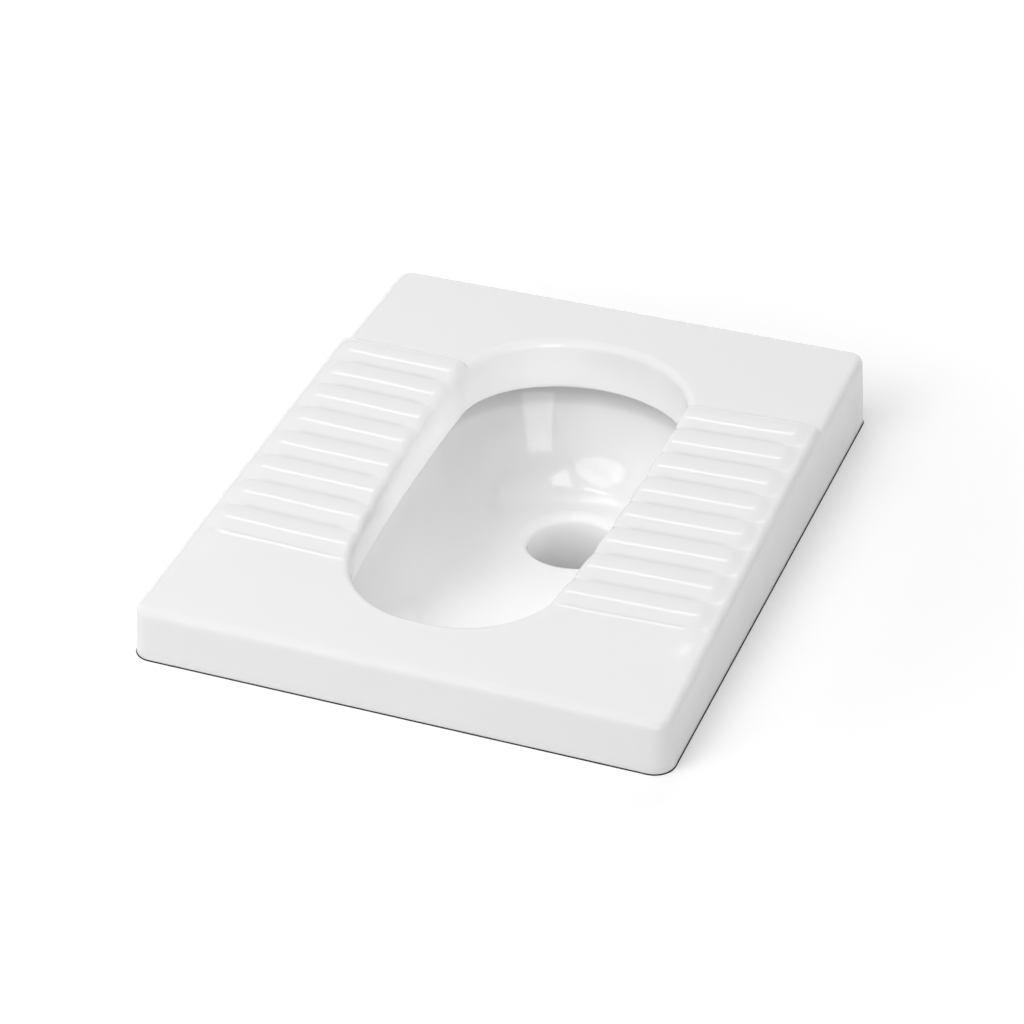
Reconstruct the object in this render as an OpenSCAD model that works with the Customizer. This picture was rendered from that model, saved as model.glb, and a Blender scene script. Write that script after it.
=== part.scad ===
// Squat toilet: a vitreous china floor pan with moulded treads, its flush
// connection and its floor trap of two welded bends and a swivelling elbow.
// Frame: X to the right, Y to the rear, Z up. The origin is the centre of the
// slab's footprint on its underside, which lies on the finished floor.
// All sizes are in millimetres.

/* [Slab] */
// Width of the slab's footprint
slab_w = 440; // [380:1:540]
// Length of the slab's footprint
slab_l = 555; // [462:1:680]
// Height of the top at the front edge
front_h = 43.9; // [36:0.1:60]
// Rise of the tread plane from the front edge to the rear edge
tread_rise = 34; // [10:0.5:45]
// Height of the rear deck at the rear edge
rear_h = 65.1; // [56:0.1:80]
// Rise of the rear deck's plane over the slab's length
rear_rise = 11; // [4:0.5:20]
// Plan radius of the four corners
corner_r = 17; // [15:0.5:30]
// Radius of the rounded top edge
edge_r = 10; // [4:0.5:12]
// Outward lean of the side faces, in degrees
side_draft = 4; // [0:0.5:6]
// Thickness of the skirt
skirt_t = 13; // [10:0.5:18]
// Thickness of the deck
deck_t = 12; // [9:0.5:15]

/* [Treads] */
// Number of ribs on each side
rib_count = 8; // [5:1:10]
// Height of a rib above the creases beside it
rib_h = 2.8; // [1:0.1:4]
// Height of the creases above the tread plane
tread_lift = 1.2; // [0:0.1:3]
// Fall of each side deck towards the opening
tread_dish = 2.6; // [0:0.1:5]
// Distance from the rear crease to the opening's rear wall
tread_rear = 70.4; // [60:0.1:90]
// Distance from the front crease to the opening's front wall
tread_front = 52.3; // [45:0.1:80]
// Length of the ramp between the front crease and the front deck
ramp_l = 34.3; // [20:0.1:40]
// Length of the step down to the rear deck
step_l = 7; // [4:0.5:12]

/* [Opening] */
// Width of the opening at its widest, between the rim walls
open_w = 199; // [170:1:230]
// How much narrower the opening is where its front curve starts
open_taper = 12; // [0:0.5:20]
// Width of the rear deck, from the slab's edge to the rim wall
rear_deck = 72.5; // [68:0.5:110]
// Width of the front deck, from the slab's edge to the rim wall
front_deck = 64.5; // [60:0.5:110]
// Length of the opening's rear curve
rear_curve = 82; // [60:0.5:100]
// Length of the opening's front curve
front_curve = 78; // [60:0.5:100]
// Radius that rolls the deck over into the opening
roll_r = 7; // [4:0.5:9]

/* [Rim] */
// Height of the rim wall's lower lip above the floor
lip_z = 17; // [12:0.5:22]
// Thickness of the rim wall
rim_t = 8; // [6:0.5:10]
// Width of the flush channel behind the rim wall
channel_w = 12; // [8:0.5:15]

/* [Bowl] */
// Thickness of the bowl
bowl_t = 10; // [8:0.5:12]
// Depth of the bowl's floor at the drain, below the finished floor
bowl_depth = 95; // [85:1:120]
// Distance over which the side walls curve into the bowl's floor
bowl_round = 60; // [40:1:64]
// Distance over which the rear wall curves into the bowl's floor
rear_round = 38; // [25:1:45]
// Fall of the bowl's floor towards the drain, per millimetre
floor_fall = 0.2; // [0.1:0.01:0.25]
// Distance from the opening's rear wall to the drain's centre
drain_back = 71; // [68:0.5:90]
// Radius of the drain's throat
throat_r = 41; // [34:0.5:44]
// Radius of the fillet round the drain
drain_fillet = 8; // [5:0.5:10]

/* [Outlet] */
// Thickness of the pan's outlet spigot
spigot_t = 9; // [7:0.5:10]
// Length of the spigot below the bowl's underside
spigot_l = 60; // [50:1:80]

/* [Flush inlet] */
// Bore radius of the flush horn
horn_bore_r = 20; // [16:0.5:22]
// Thickness of the flush horn
horn_t = 7; // [6:0.5:8]
// Depth of the horn's axis below the finished floor
horn_drop = 37; // [34:0.5:42]
// How far the horn's end stands out behind the slab
horn_out = 18; // [12:0.5:40]
// Outside radius of the flush pipe that the connector takes
flush_pipe_r = 20; // [16:0.5:22]
// Thickness of the rubber connector
boot_t = 3.2; // [2.5:0.1:4]
// Length of each of the connector's two sockets
boot_grip = 28; // [22:1:40]

/* [Hose clips] */
// Width of a clip's band
band_w = 12; // [9:0.5:14]
// Thickness of a clip's band
band_t = 0.9; // [0.6:0.1:1.2]
// Radius of a clip's worm screw
worm_r = 3.2; // [2.5:0.1:4]

/* [Trap] */
// Outside radius of the soil pipe
pipe_r = 55; // [45:0.5:55]
// Thickness of the trap's wall
pipe_t = 3.2; // [2.6:0.1:4]
// Radius of the bends, to the middle of the pipe
bend_r = 62; // [60:0.5:75]
// Length of the straight inlet leg, from the socket's floor to the bend
leg_l = 70; // [68:1:120]
// Depth of the socket in which the two bends are welded together
weld_l = 26; // [22:1:40]
// Length of the straight riser between the bend and its socket
riser_l = 5; // [5:0.5:10]
// Radial room for the seal between the pan's spigot and the trap's socket
seal_space = 8; // [6:0.5:10]
// Thickness of a socket's wall
socket_t = 4; // [3.5:0.5:6]
// Depth of the socket that takes the pan's spigot
inlet_socket_l = 52; // [44:1:58]
// Depth of the riser's socket
riser_socket_l = 38; // [34:1:50]
// Length of the outlet spigot after the bend
outlet_l = 60; // [50:1:120]

/* [Cleaning eye] */
// Outside radius of the cleaning eye's neck
neck_r = 38; // [30:0.5:42]
// Thickness of the neck
neck_t = 5; // [4:0.5:6]
// Length of the neck outside the pipe
neck_l = 17; // [16:0.5:25]
// Thickness of the cap's wall
cap_t = 4; // [3:0.5:6]
// Thickness of the cap's gasket
gasket_t = 2.4; // [1.5:0.1:4]
// Number of grip ribs round the cap
grip_count = 24; // [12:1:32]

/* [Hidden] */

$fn = 96;

// Clearance between a seal or a seat and what it fits
seat_gap = 0.3;
// Clearance between two pieces that turn in each other
turn_gap = 0.3;
// Thickness of the cement between two welded pipes
weld_gap = 0.15;
// Overlap that joins two solids of one piece
join = 1;

glaze_white = [0.93, 0.93, 0.92];
rubber_black = [0.12, 0.12, 0.13];
pipe_grey = [0.62, 0.64, 0.66];
cap_grey = [0.45, 0.47, 0.50];
steel = [0.75, 0.76, 0.78];

// ---------------------------------------------------------------- levels

back_y = slab_l / 2;
front_y = -slab_l / 2;
open_rear_y = back_y - rear_deck;
open_front_y = front_y + front_deck;
rear_arc_y = open_rear_y - rear_curve;
front_arc_y = open_front_y + front_curve;
rear_crease_y = open_rear_y - tread_rear;
front_crease_y = open_front_y + tread_front;
rib_pitch = (rear_crease_y - front_crease_y) / rib_count;
ramp_y = front_crease_y - ramp_l;
drain_y = open_rear_y - drain_back;
// The fillet ends this far outside the throat's true bore
throat_shoulder = 0.7;
drain_r = throat_r + throat_shoulder + drain_fillet;
channel_back = rim_t + channel_w;
spigot_r = throat_r + spigot_t;
spigot_top_z = -bowl_depth - bowl_t;
spigot_end_z = spigot_top_z - spigot_l;

// ------------------------------------------------------- shape of the deck

function clamp01(t) = max(0, min(1, t));
function ease(t) = clamp01(t) * clamp01(t) * (3 - 2 * clamp01(t));
function mix(a, b, t) = a + (b - a) * t;

// Height of the plane that carries the treads and the front deck
function tread_plane(y) = front_h + tread_rise * (y - front_y) / slab_l;

// Height of the rear deck
function rear_plane(y) = rear_h - rear_rise * (back_y - y) / slab_l;

// How far a point is on the rear deck: 0 on the treads and 1 behind the step
function behind_step(y) = ease((y - rear_crease_y + step_l / 2) / step_l);

// Height of the deck without its ribs
function deck_plane(y) = mix(tread_plane(y), rear_plane(y), behind_step(y));

// The ribs start to fade this far inside the slab's edge, over this length
fade_in = 22;
fade_l = 14;
// Share of a rib's height that is left at the slab's edge
edge_relief = 0.2;
function rib_fade(x)
    = mix(edge_relief, 1, ease((slab_w / 2 - fade_in + fade_l - abs(x)) / fade_l));

// One rib's rounded back, from crease to crease
function rib_back(y) = let (p = (y - front_crease_y) / rib_pitch, q = p - floor(p + 1e-6))
    rib_h * (1 - pow(2 * q - 1, 2));

// Share of the tread field at a point: 1 over the ribs, falling to 0 along the ramp
function tread_field(y)
    = y < front_crease_y ? ease((y - ramp_y) / ramp_l) : 1 - behind_step(y);

function on_ribs(y) = y > front_crease_y && y < rear_crease_y;

// Depth of the side deck's fall towards the opening
function dish(x, y) = tread_dish * tread_field(y)
    * clamp01((slab_w / 2 - fade_in - abs(x)) / (slab_w / 2 - fade_in - open_w / 2));

// Height of the deck
function deck_z(x, y) = deck_plane(y) - dish(x, y)
    + rib_fade(x) * (tread_lift * tread_field(y) + (on_ribs(y) ? rib_back(y) : 0));

// ------------------------------------------------- outlines, by station
// A station is [zone, value]. In zone 0, the straight sides, the value is the
// point's Y and its side is in the third place. In zones 1 and 2, the rear and
// the front curve, the value is the angle round the curve from the side that
// comes first.

// Exponent of the front curve's outline, where 2 is an ellipse
front_power = 2.45;
// Power with which the opening narrows towards the front
taper_power = 2.6;

function half_open(y) = open_w / 2 - open_taper
    * pow(clamp01((rear_arc_y - y) / (rear_arc_y - front_arc_y)), taper_power);
function front_half_open(y) = open_w / 2 - open_taper
    * pow(max(0, (rear_arc_y - y) / (rear_arc_y - front_arc_y)), taper_power);

function curved(v, power) = sign(v) * pow(abs(v), 2 / power);

// Point of the opening's outline at a station, moved out by dx across and dy along
function opening_at(s, dx, dy)
    = s[0] == 1 ? [(open_w / 2 + dx) * cos(s[1]), rear_arc_y + (rear_curve + dy) * sin(s[1])]
    : s[0] == 2
        ? let (y = front_arc_y - (front_curve + dy) * curved(sin(s[1]), front_power))
            [-(front_half_open(y) + dx) * curved(cos(s[1]), front_power), y]
        : [s[2] * (half_open(s[1]) + dx), s[1]];

// Station of the side point whose rolled edge is at this Y
function side_station(y, side)
    = y > rear_arc_y
        ? [1, let (a = asin((y - rear_arc_y) / (rear_curve + roll_r))) side > 0 ? a : 180 - a]
    : y < front_arc_y
        ? [2, let (a = asin(pow((front_arc_y - y) / (front_curve + roll_r), front_power / 2)))
            side > 0 ? 180 - a : a]
        : [0, y, side];

rib_steps = 4;
side_ys = concat(
    [for (k = [0:2]) ramp_y + k * ramp_l / 3],
    [for (k = [0:rib_count * rib_steps]) front_crease_y + k * rib_pitch / rib_steps],
    [rear_crease_y + step_l / 4, rear_crease_y + step_l / 2]);
side_n = len(side_ys);
rear_n = 20;
front_n = 16;

function rear_angle(t) = let (a = side_station(side_ys[side_n - 1], 1)[1]) mix(a, 180 - a, t);
function front_angle(t) = let (a = side_station(side_ys[0], -1)[1]) mix(a, 180 - a, t);

// Every station, anticlockwise from the front of the right side
stations = concat(
    [for (y = side_ys) side_station(y, 1)],
    [for (k = [1:rear_n - 1]) [1, rear_angle(k / rear_n)]],
    [for (k = [side_n - 1:-1:0]) side_station(side_ys[k], -1)],
    [for (k = [1:front_n - 1]) [2, front_angle(k / front_n)]]);
station_n = len(stations);

// Point of the slab's end outline at share t of the way round it, drawn in by inset.
// The way runs up the side from y0 by side_share, round the corner, and along the end.
function end_outline(t, y0, inset, side_share, corner_share)
    = t > 0.5 ? let (p = end_outline(1 - t, y0, inset, side_share, corner_share)) [-p[0], p[1]]
    : t < side_share
        ? [slab_w / 2 - inset, mix(y0, slab_l / 2 - corner_r, t / side_share)]
    : t < corner_share
        ? let (a = 90 * (t - side_share) / (corner_share - side_share))
            [slab_w / 2 - corner_r + (corner_r - inset) * cos(a),
                slab_l / 2 - corner_r + (corner_r - inset) * sin(a)]
        : [(slab_w / 2 - corner_r) * (0.5 - t) / (0.5 - corner_share), slab_l / 2 - inset];

// Point of the slab's outline at station k, drawn in by inset
function slab_at(k, inset)
    = k < side_n ? [slab_w / 2 - inset, side_ys[k]]
    : k < side_n + rear_n - 1
        ? end_outline((k - side_n + 1) / rear_n, side_ys[side_n - 1], inset, 0.2, 0.4)
    : k < 2 * side_n + rear_n - 1
        ? [-slab_w / 2 + inset, side_ys[2 * side_n + rear_n - 2 - k]]
        : let (p = end_outline((k - 2 * side_n - rear_n + 2) / front_n,
                -side_ys[0], inset, 0.125, 0.375)) [-p[0], -p[1]];

// -------------------------------------------------------- skin of the pan

draft = tan(side_draft);
bottom_edge = 1.5;

// How far the top of the side face stands in from the footprint at station k
function edge_inset(k) = let (p = slab_at(k, edge_r + 3))
    (deck_z(p[0], p[1]) - edge_r) * draft;

// Ring of points over all stations, from a rule that gives a point [x, y, z]
function side_ring(k, a) = let (i = edge_inset(k), p = slab_at(k, i + edge_r * (1 - cos(a))),
        q = slab_at(k, i + edge_r))
    [p[0], p[1], deck_z(q[0], q[1]) - edge_r * (1 - sin(a))];

function deck_point(k, t) = let (i = edge_inset(k), p = slab_at(k, i + edge_r),
        q = opening_at(stations[k], roll_r, roll_r), x = mix(p[0], q[0], t),
        y = mix(p[1], q[1], t))
    [x, y, deck_z(x, y)];

function roll_point(k, a) = let (q = opening_at(stations[k], roll_r, roll_r),
        d = roll_r * (1 - sin(a)), p = opening_at(stations[k], d, d))
    [p[0], p[1], deck_z(q[0], q[1]) - roll_r * (1 - cos(a))];

function wall_point(k, d, z) = let (p = opening_at(stations[k], d, d)) [p[0], p[1], z];

function under_deck_z(k, d) = let (p = opening_at(stations[k], d, d))
    deck_plane(p[1]) - tread_dish - deck_t;

function roof_point(k, d) = let (p = opening_at(stations[k], d, d))
    [p[0], p[1], under_deck_z(k, channel_back)];

// Length over which the floor's slope eases into the level round the drain
slope_ease = 30;
function floor_z(y) = let (u = drain_y - drain_r - y)
    -bowl_depth + floor_fall * (sqrt(u * u + slope_ease * slope_ease) + u) / 2;

bowl_top_z = lip_z - 2;

// Point of the bowl's wall at angle a of its curve, set out by a thickness t
function bowl_point(k, a, t) = let (s = stations[k],
        run = s[0] == 1 ? rear_round : bowl_round,
        p = opening_at(s, channel_back - bowl_round * (1 - cos(a)) + t * cos(a),
            channel_back - run * (1 - cos(a)) + t * cos(a)),
        f = opening_at(s, channel_back - bowl_round, channel_back - run),
        z = floor_z(f[1]))
    [p[0], p[1], bowl_top_z + (z - bowl_top_z) * sin(a) - t * sin(a)];

// How much of the drain's circle the stations of the front and the sides keep to
front_reach = 3.2;

// Angle on the drain's circle that station k runs down to
function drain_angle(k) = let (s = stations[k])
    s[0] == 1 ? s[1]
    : let (f = opening_at(s, channel_back - bowl_round, channel_back - bowl_round),
        a = atan2(f[1] - rear_arc_y, f[0] * front_reach)) a;

function drain_point(k, r, z) = let (a = drain_angle(k))
    [r * cos(a), drain_y + r * sin(a), z];

// Point of the bowl's floor at share t of the way to the drain's fillet, t down by d
function floor_point(k, t, d) = let (p = bowl_point(k, 90, 0), q = drain_point(k, drain_r, 0),
        x = mix(p[0], q[0], t), y = mix(p[1], q[1], t))
    [x, y, floor_z(y) - d];

function fillet_point(k, a) = let (r = drain_r - drain_fillet * sin(a),
        p = drain_point(k, r, 0), q = drain_point(k, drain_r, 0))
    [p[0], p[1], floor_z(q[1]) - drain_fillet * (1 - cos(a))];

// A slightly smaller throat and spigot in the skin, which the true bore and the
// true spigot take over
skin_gap = 2;
throat_top_z = -bowl_depth - drain_fillet;

all_k = [for (k = [0:station_n - 1]) k];
skin = concat(
    [[for (k = all_k) let (p = slab_at(k, bottom_edge)) [p[0], p[1], 0]]],
    [[for (k = all_k) let (p = slab_at(k, 0)) [p[0], p[1], bottom_edge]]],
    [for (a = [0:30:90]) [for (k = all_k) side_ring(k, a)]],
    [for (t = [0.08, 0.17, 1]) [for (k = all_k) deck_point(k, t)]],
    [for (a = [30:30:90]) [for (k = all_k) roll_point(k, a)]],
    [[for (k = all_k) wall_point(k, 0, lip_z + 3)]],
    [[for (k = all_k) wall_point(k, 2, lip_z)]],
    [[for (k = all_k) wall_point(k, rim_t - 2, lip_z)]],
    [[for (k = all_k) wall_point(k, rim_t, lip_z + 3)]],
    [for (d = [rim_t, channel_back]) [for (k = all_k) roof_point(k, d)]],
    [for (a = [0:15:90]) [for (k = all_k) bowl_point(k, a, 0)]],
    [for (t = [1 / 3, 2 / 3, 1]) [for (k = all_k) floor_point(k, t, 0)]],
    [[for (k = all_k) fillet_point(k, 50)]],
    [[for (k = all_k) fillet_point(k, 90)]],
    [[for (k = all_k) drain_point(k, throat_r - skin_gap, throat_top_z - skin_gap)]],
    [[for (k = all_k) drain_point(k, throat_r - skin_gap, spigot_top_z - 2 * drain_fillet)]],
    [[for (k = all_k) drain_point(k, spigot_r - skin_gap, spigot_top_z - 2 * drain_fillet)]],
    [[for (k = all_k) drain_point(k, spigot_r - skin_gap, spigot_top_z - drain_fillet)]],
    [for (t = [1, 1 / 2]) [for (k = all_k) floor_point(k, t, bowl_t)]],
    [for (a = [90:-18:0]) [for (k = all_k) bowl_point(k, a, bowl_t)]],
    [[for (k = all_k) let (p = opening_at(stations[k], channel_back + bowl_t,
        channel_back + bowl_t)) [p[0], p[1], under_deck_z(k, channel_back)]]],
    [[for (k = all_k) let (p = slab_at(k, skirt_t + edge_inset(k)))
        [p[0], p[1], under_deck_z(k, channel_back)]]],
    [[for (k = all_k) let (p = slab_at(k, skirt_t)) [p[0], p[1], 0]]]);

// Closed solid from rings of points, each joined to the next and the last to the first
module ring_solid(rings) {
    m = len(rings);
    n = len(rings[0]);
    polyhedron(
        points = [for (ring = rings) each ring],
        faces = [for (j = [0:m - 1], i = [0:n - 1])
            let (a = j * n + i, b = ((j + 1) % m) * n + i,
                c = ((j + 1) % m) * n + (i + 1) % n, d = j * n + (i + 1) % n)
            each [[a, b, c], [a, c, d]]],
        convexity = 10);
}

// ------------------------------------------------------ flush inlet sizes

horn_r = horn_bore_r + horn_t;
horn_end_y = back_y + horn_out;
horn_z = -horn_drop;
// Upright water chamber that joins the horn to the flush channel
chamber_r = 16;
chamber_half = 18;
chamber_t = 7.5;
chamber_y = open_rear_y + channel_back + bowl_t + chamber_r - chamber_t + 0.5;
chamber_bottom_z = horn_z - horn_r - 2;
chamber_top_z = rear_plane(chamber_y) - deck_t / 2;
duct_half = 20;
duct_bottom_z = lip_z + 7;
duct_h = 18;

// ------------------------------------------------------------ trap sizes

pipe_in_r = pipe_r - pipe_t;
inlet_socket_in_r = spigot_r + seal_space;
inlet_socket_r = inlet_socket_in_r + socket_t;
inlet_floor_z = spigot_end_z - 5;
inlet_mouth_z = inlet_floor_z + inlet_socket_l;
bend_z = inlet_floor_z - leg_l;
inlet_bend_y = drain_y + bend_r;
outlet_bend_y = inlet_bend_y + weld_l;
base_z = bend_z - bend_r;
riser_y = outlet_bend_y + bend_r;
riser_floor_z = bend_z + riser_l;
riser_mouth_z = riser_floor_z + riser_socket_l;
riser_socket_in_r = pipe_r + seat_gap + 0.2;
riser_socket_r = riser_socket_in_r + socket_t + 3;
groove_r = riser_socket_in_r + 3.5;
groove_top_z = riser_mouth_z - 7;
groove_h = 9;
elbow_start_z = riser_mouth_z + 2;
outlet_z = elbow_start_z + bend_r;
outlet_start_y = riser_y + bend_r;
outlet_end_y = outlet_start_y + outlet_l;
eye_z = bend_z + 8;
eye_face_y = drain_y - pipe_r - neck_l;
eye_r = neck_r - neck_t;
cap_in_r = neck_r + turn_gap + 0.1;
cap_r = cap_in_r + cap_t;
cap_skirt = 14;

// ---------------------------------------------------------------- helpers

// Tube that stands on the origin
module tube(r_out, r_in, h) {
    difference() {
        cylinder(r = r_out, h = h);
        translate([0, 0, -join])
            cylinder(r = r_in, h = h + 2 * join);
    }
}

// Places its child's Z axis along +Y, through a point at depth z
module along_y(y, z) {
    translate([0, y, z])
        rotate([-90, 0, 0])
            children();
}

// Upright solid whose plan has two round ends
module round_ended(r, half, y, z0, z1) {
    translate([0, y, z0]) {
        for (side = [-1, 1])
            translate([side * half, 0, 0])
                cylinder(r = r, h = z1 - z0);
        translate([-half, -r, 0])
            cube([2 * half, 2 * r, z1 - z0]);
    }
}

// Bent rod of radius r about a centre in the middle plane. Angles run from
// straight down, at 0, through the rear, at 90, to straight up, at 180.
module bend(r, y, z, start, angle) {
    translate([0, y, z])
        rotate([0, 90, 0])
            rotate([0, 0, start])
                rotate_extrude(angle = angle)
                    translate([bend_r, 0])
                        circle(r = r);
}

// ---------------------------------------------------------------- the pan

module pan_outside() {
    ring_solid(skin);
    translate([0, drain_y, spigot_end_z])
        cylinder(r = spigot_r, h = spigot_l + join);
    round_ended(chamber_r, chamber_half, chamber_y, chamber_bottom_z, chamber_top_z);
    along_y(chamber_y, horn_z)
        cylinder(r = horn_r, h = horn_end_y - chamber_y);
}

module pan_waterways() {
    // throat
    translate([0, drain_y, spigot_end_z - join])
        cylinder(r = throat_r, h = throat_top_z - spigot_end_z + join + drain_fillet / 2);
    // chamber behind the bowl
    round_ended(chamber_r - chamber_t, chamber_half, chamber_y,
        chamber_bottom_z + chamber_t, duct_bottom_z + duct_h);
    // duct from the chamber into the flush channel
    translate([-duct_half, open_rear_y + rim_t + channel_w / 2, duct_bottom_z])
        cube([2 * duct_half, chamber_y - open_rear_y - rim_t - channel_w / 2, duct_h]);
    // horn
    along_y(chamber_y, horn_z)
        cylinder(r = horn_bore_r, h = horn_end_y - chamber_y + join);
}

module pan() {
    color(glaze_white)
        difference() {
            pan_outside();
            pan_waterways();
        }
}

// --------------------------------------------------------------- the trap

// Rubber sleeve with three fins, between the pan's spigot and the trap's socket
module pan_outlet_seal() {
    sleeve_l = 38;
    sleeve_t = 3;
    fin_count = 3;
    fin_pitch = 12;
    fin_start = 6;
    fin_t = 2.5;
    fin_slope = 3;
    fin_root = 7;
    fin_r = spigot_r + seat_gap;
    out_r = inlet_socket_in_r - seat_gap;
    body_r = out_r - sleeve_t;
    lip_r = inlet_socket_r - 1;
    color(rubber_black)
        translate([0, drain_y, inlet_mouth_z + seat_gap])
            rotate_extrude()
                union() {
                    translate([body_r, -sleeve_l])
                        square([sleeve_t, sleeve_l + sleeve_t]);
                    translate([body_r, 0])
                        square([lip_r - body_r, sleeve_t]);
                    for (k = [0:fin_count - 1])
                        translate([0, -fin_start - fin_pitch * k])
                            polygon([[body_r + join, 0], [fin_r, -fin_slope],
                                [fin_r, -fin_slope - fin_t], [body_r + join, -fin_root]]);
                }
}

module inlet_bend_outside() {
    translate([0, drain_y, inlet_floor_z - socket_t])
        cylinder(r = inlet_socket_r, h = inlet_socket_l + socket_t);
    translate([0, drain_y, bend_z])
        cylinder(r = pipe_r, h = leg_l);
    bend(pipe_r, inlet_bend_y, bend_z, -90, 90);
    along_y(inlet_bend_y - socket_t, base_z)
        cylinder(r = pipe_r + weld_gap + socket_t, h = socket_t + weld_l);
    along_y(eye_face_y, eye_z)
        cylinder(r = neck_r, h = pipe_r + neck_l);
}

module inlet_bend_inside() {
    translate([0, drain_y, inlet_floor_z])
        cylinder(r = inlet_socket_in_r, h = inlet_socket_l + join);
    translate([0, drain_y, bend_z])
        cylinder(r = pipe_in_r, h = leg_l + join);
    bend(pipe_in_r, inlet_bend_y, bend_z, -90, 90);
    along_y(inlet_bend_y - socket_t - join, base_z)
        cylinder(r = pipe_in_r, h = socket_t + 2 * join);
    along_y(inlet_bend_y, base_z)
        cylinder(r = pipe_r + weld_gap, h = weld_l + join);
    along_y(eye_face_y - join, eye_z)
        cylinder(r = eye_r, h = pipe_r + neck_l + join);
}

// First half of the trap: socket, water leg, bend with the cleaning eye, and the
// socket for the second half
module trap_inlet_bend() {
    color(pipe_grey)
        difference() {
            inlet_bend_outside();
            inlet_bend_inside();
        }
}

// Second half of the trap: spigot, bend and riser socket
module trap_outlet_bend() {
    color(pipe_grey)
        difference() {
            union() {
                along_y(inlet_bend_y + weld_gap, base_z)
                    cylinder(r = pipe_r, h = weld_l - weld_gap);
                bend(pipe_r, outlet_bend_y, bend_z, 0, 90);
                translate([0, riser_y, bend_z])
                    cylinder(r = pipe_r, h = riser_l + join);
                translate([0, riser_y, riser_floor_z - socket_t])
                    cylinder(r = riser_socket_r, h = riser_socket_l + socket_t);
            }
            along_y(inlet_bend_y, base_z)
                cylinder(r = pipe_in_r, h = weld_l);
            bend(pipe_in_r, outlet_bend_y, bend_z, 0, 90);
            translate([0, riser_y, bend_z])
                cylinder(r = pipe_in_r, h = riser_l + join);
            translate([0, riser_y, riser_floor_z])
                cylinder(r = riser_socket_in_r, h = riser_socket_l + join);
            translate([0, riser_y, groove_top_z - groove_h])
                cylinder(r = groove_r, h = groove_h);
        }
}

// Lip ring in the groove of the riser's socket
module elbow_seal() {
    in_r = pipe_r + turn_gap;
    out_r = groove_r - seat_gap;
    seal_h = groove_h - 2 * seat_gap;
    foot_relief = 1.2;
    top_relief = 1.6;
    lip_h = 1.5;
    color(rubber_black)
        translate([0, riser_y, groove_top_z - groove_h + seat_gap])
            rotate_extrude()
                polygon([[in_r + foot_relief, 0], [out_r, 0], [out_r, seal_h],
                    [in_r + top_relief, seal_h], [in_r, groove_h / 2],
                    [in_r, groove_h / 2 - lip_h]]);
}

// Elbow that turns the riser's flow level, with a spigot at each end
module outlet_elbow() {
    spigot_bottom_z = riser_floor_z + 2;
    chamfer = 6;
    taper = 1.6;
    bead_y = outlet_start_y + 8;
    bead_w = 4;
    bead_h = 2.5;
    color(pipe_grey)
        difference() {
            union() {
                translate([0, riser_y, spigot_bottom_z])
                    cylinder(r = pipe_r, h = elbow_start_z - spigot_bottom_z);
                bend(pipe_r, outlet_start_y, elbow_start_z, 180, 90);
                along_y(outlet_start_y, outlet_z)
                    cylinder(r = pipe_r, h = outlet_l - chamfer);
                along_y(outlet_end_y - chamfer, outlet_z)
                    cylinder(r1 = pipe_r, r2 = pipe_r - taper, h = chamfer);
                along_y(bead_y, outlet_z)
                    cylinder(r = pipe_r + bead_h, h = bead_w);
            }
            translate([0, riser_y, spigot_bottom_z - join])
                cylinder(r = pipe_in_r, h = elbow_start_z - spigot_bottom_z + join);
            bend(pipe_in_r, outlet_start_y, elbow_start_z, 180, 90);
            along_y(outlet_start_y, outlet_z)
                cylinder(r = pipe_in_r, h = outlet_l + join);
        }
}

// Places its child on the cleaning eye: Z points out of the neck, from its face
module at_eye() {
    translate([0, eye_face_y, eye_z])
        rotate([90, 0, 0])
            children();
}

module cap_gasket() {
    set_in = 0.5;
    color(rubber_black)
        at_eye()
            tube(neck_r - set_in, eye_r + set_in, gasket_t);
}

// Screw cap with grip ribs and a hexagon for a spanner
module cleaning_cap() {
    grip_r = 1.6;
    hexagon_r = 16;
    hexagon_h = 8;
    color(cap_grey)
        at_eye() {
            difference() {
                union() {
                    translate([0, 0, -cap_skirt])
                        cylinder(r = cap_r, h = cap_skirt + gasket_t + cap_t);
                    for (k = [0:grip_count - 1])
                        rotate([0, 0, k * 360 / grip_count])
                            translate([cap_r, 0, -cap_skirt])
                                cylinder(r = grip_r, h = cap_skirt + gasket_t + cap_t - 1);
                    translate([0, 0, gasket_t + cap_t])
                        cylinder(r = hexagon_r, h = hexagon_h, $fn = 6);
                }
                translate([0, 0, -cap_skirt - join])
                    cylinder(r = cap_in_r, h = cap_skirt + gasket_t + join);
            }
        }
}

// ------------------------------------------------------- flush connection

boot_in_r = horn_r + seat_gap;
boot_big_r = boot_in_r + boot_t;
boot_small_r = flush_pipe_r + boot_t;
boot_start_y = horn_end_y - boot_grip;
boot_neck_l = 11;
boot_neck_y = horn_end_y + boot_neck_l;
boot_end_y = boot_neck_y + boot_grip;
horn_clip_y = horn_end_y - boot_grip / 2;
pipe_clip_y = boot_neck_y + boot_grip / 2;

// Rubber connector from the horn down to the flush pipe
module flush_connector() {
    shoulder = 1.5;
    shoulder_l = 2;
    color(rubber_black)
        along_y(boot_start_y, horn_z)
            rotate_extrude()
                polygon([[boot_in_r, 0], [boot_big_r, 0], [boot_big_r, boot_grip],
                    [boot_small_r, boot_grip + boot_neck_l],
                    [boot_small_r, 2 * boot_grip + boot_neck_l],
                    [flush_pipe_r, 2 * boot_grip + boot_neck_l],
                    [flush_pipe_r, boot_grip + boot_neck_l],
                    [flush_pipe_r - shoulder, boot_grip + boot_neck_l],
                    [flush_pipe_r - shoulder, boot_grip + boot_neck_l - shoulder_l],
                    [boot_in_r, boot_grip + seat_gap]]);
}

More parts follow.
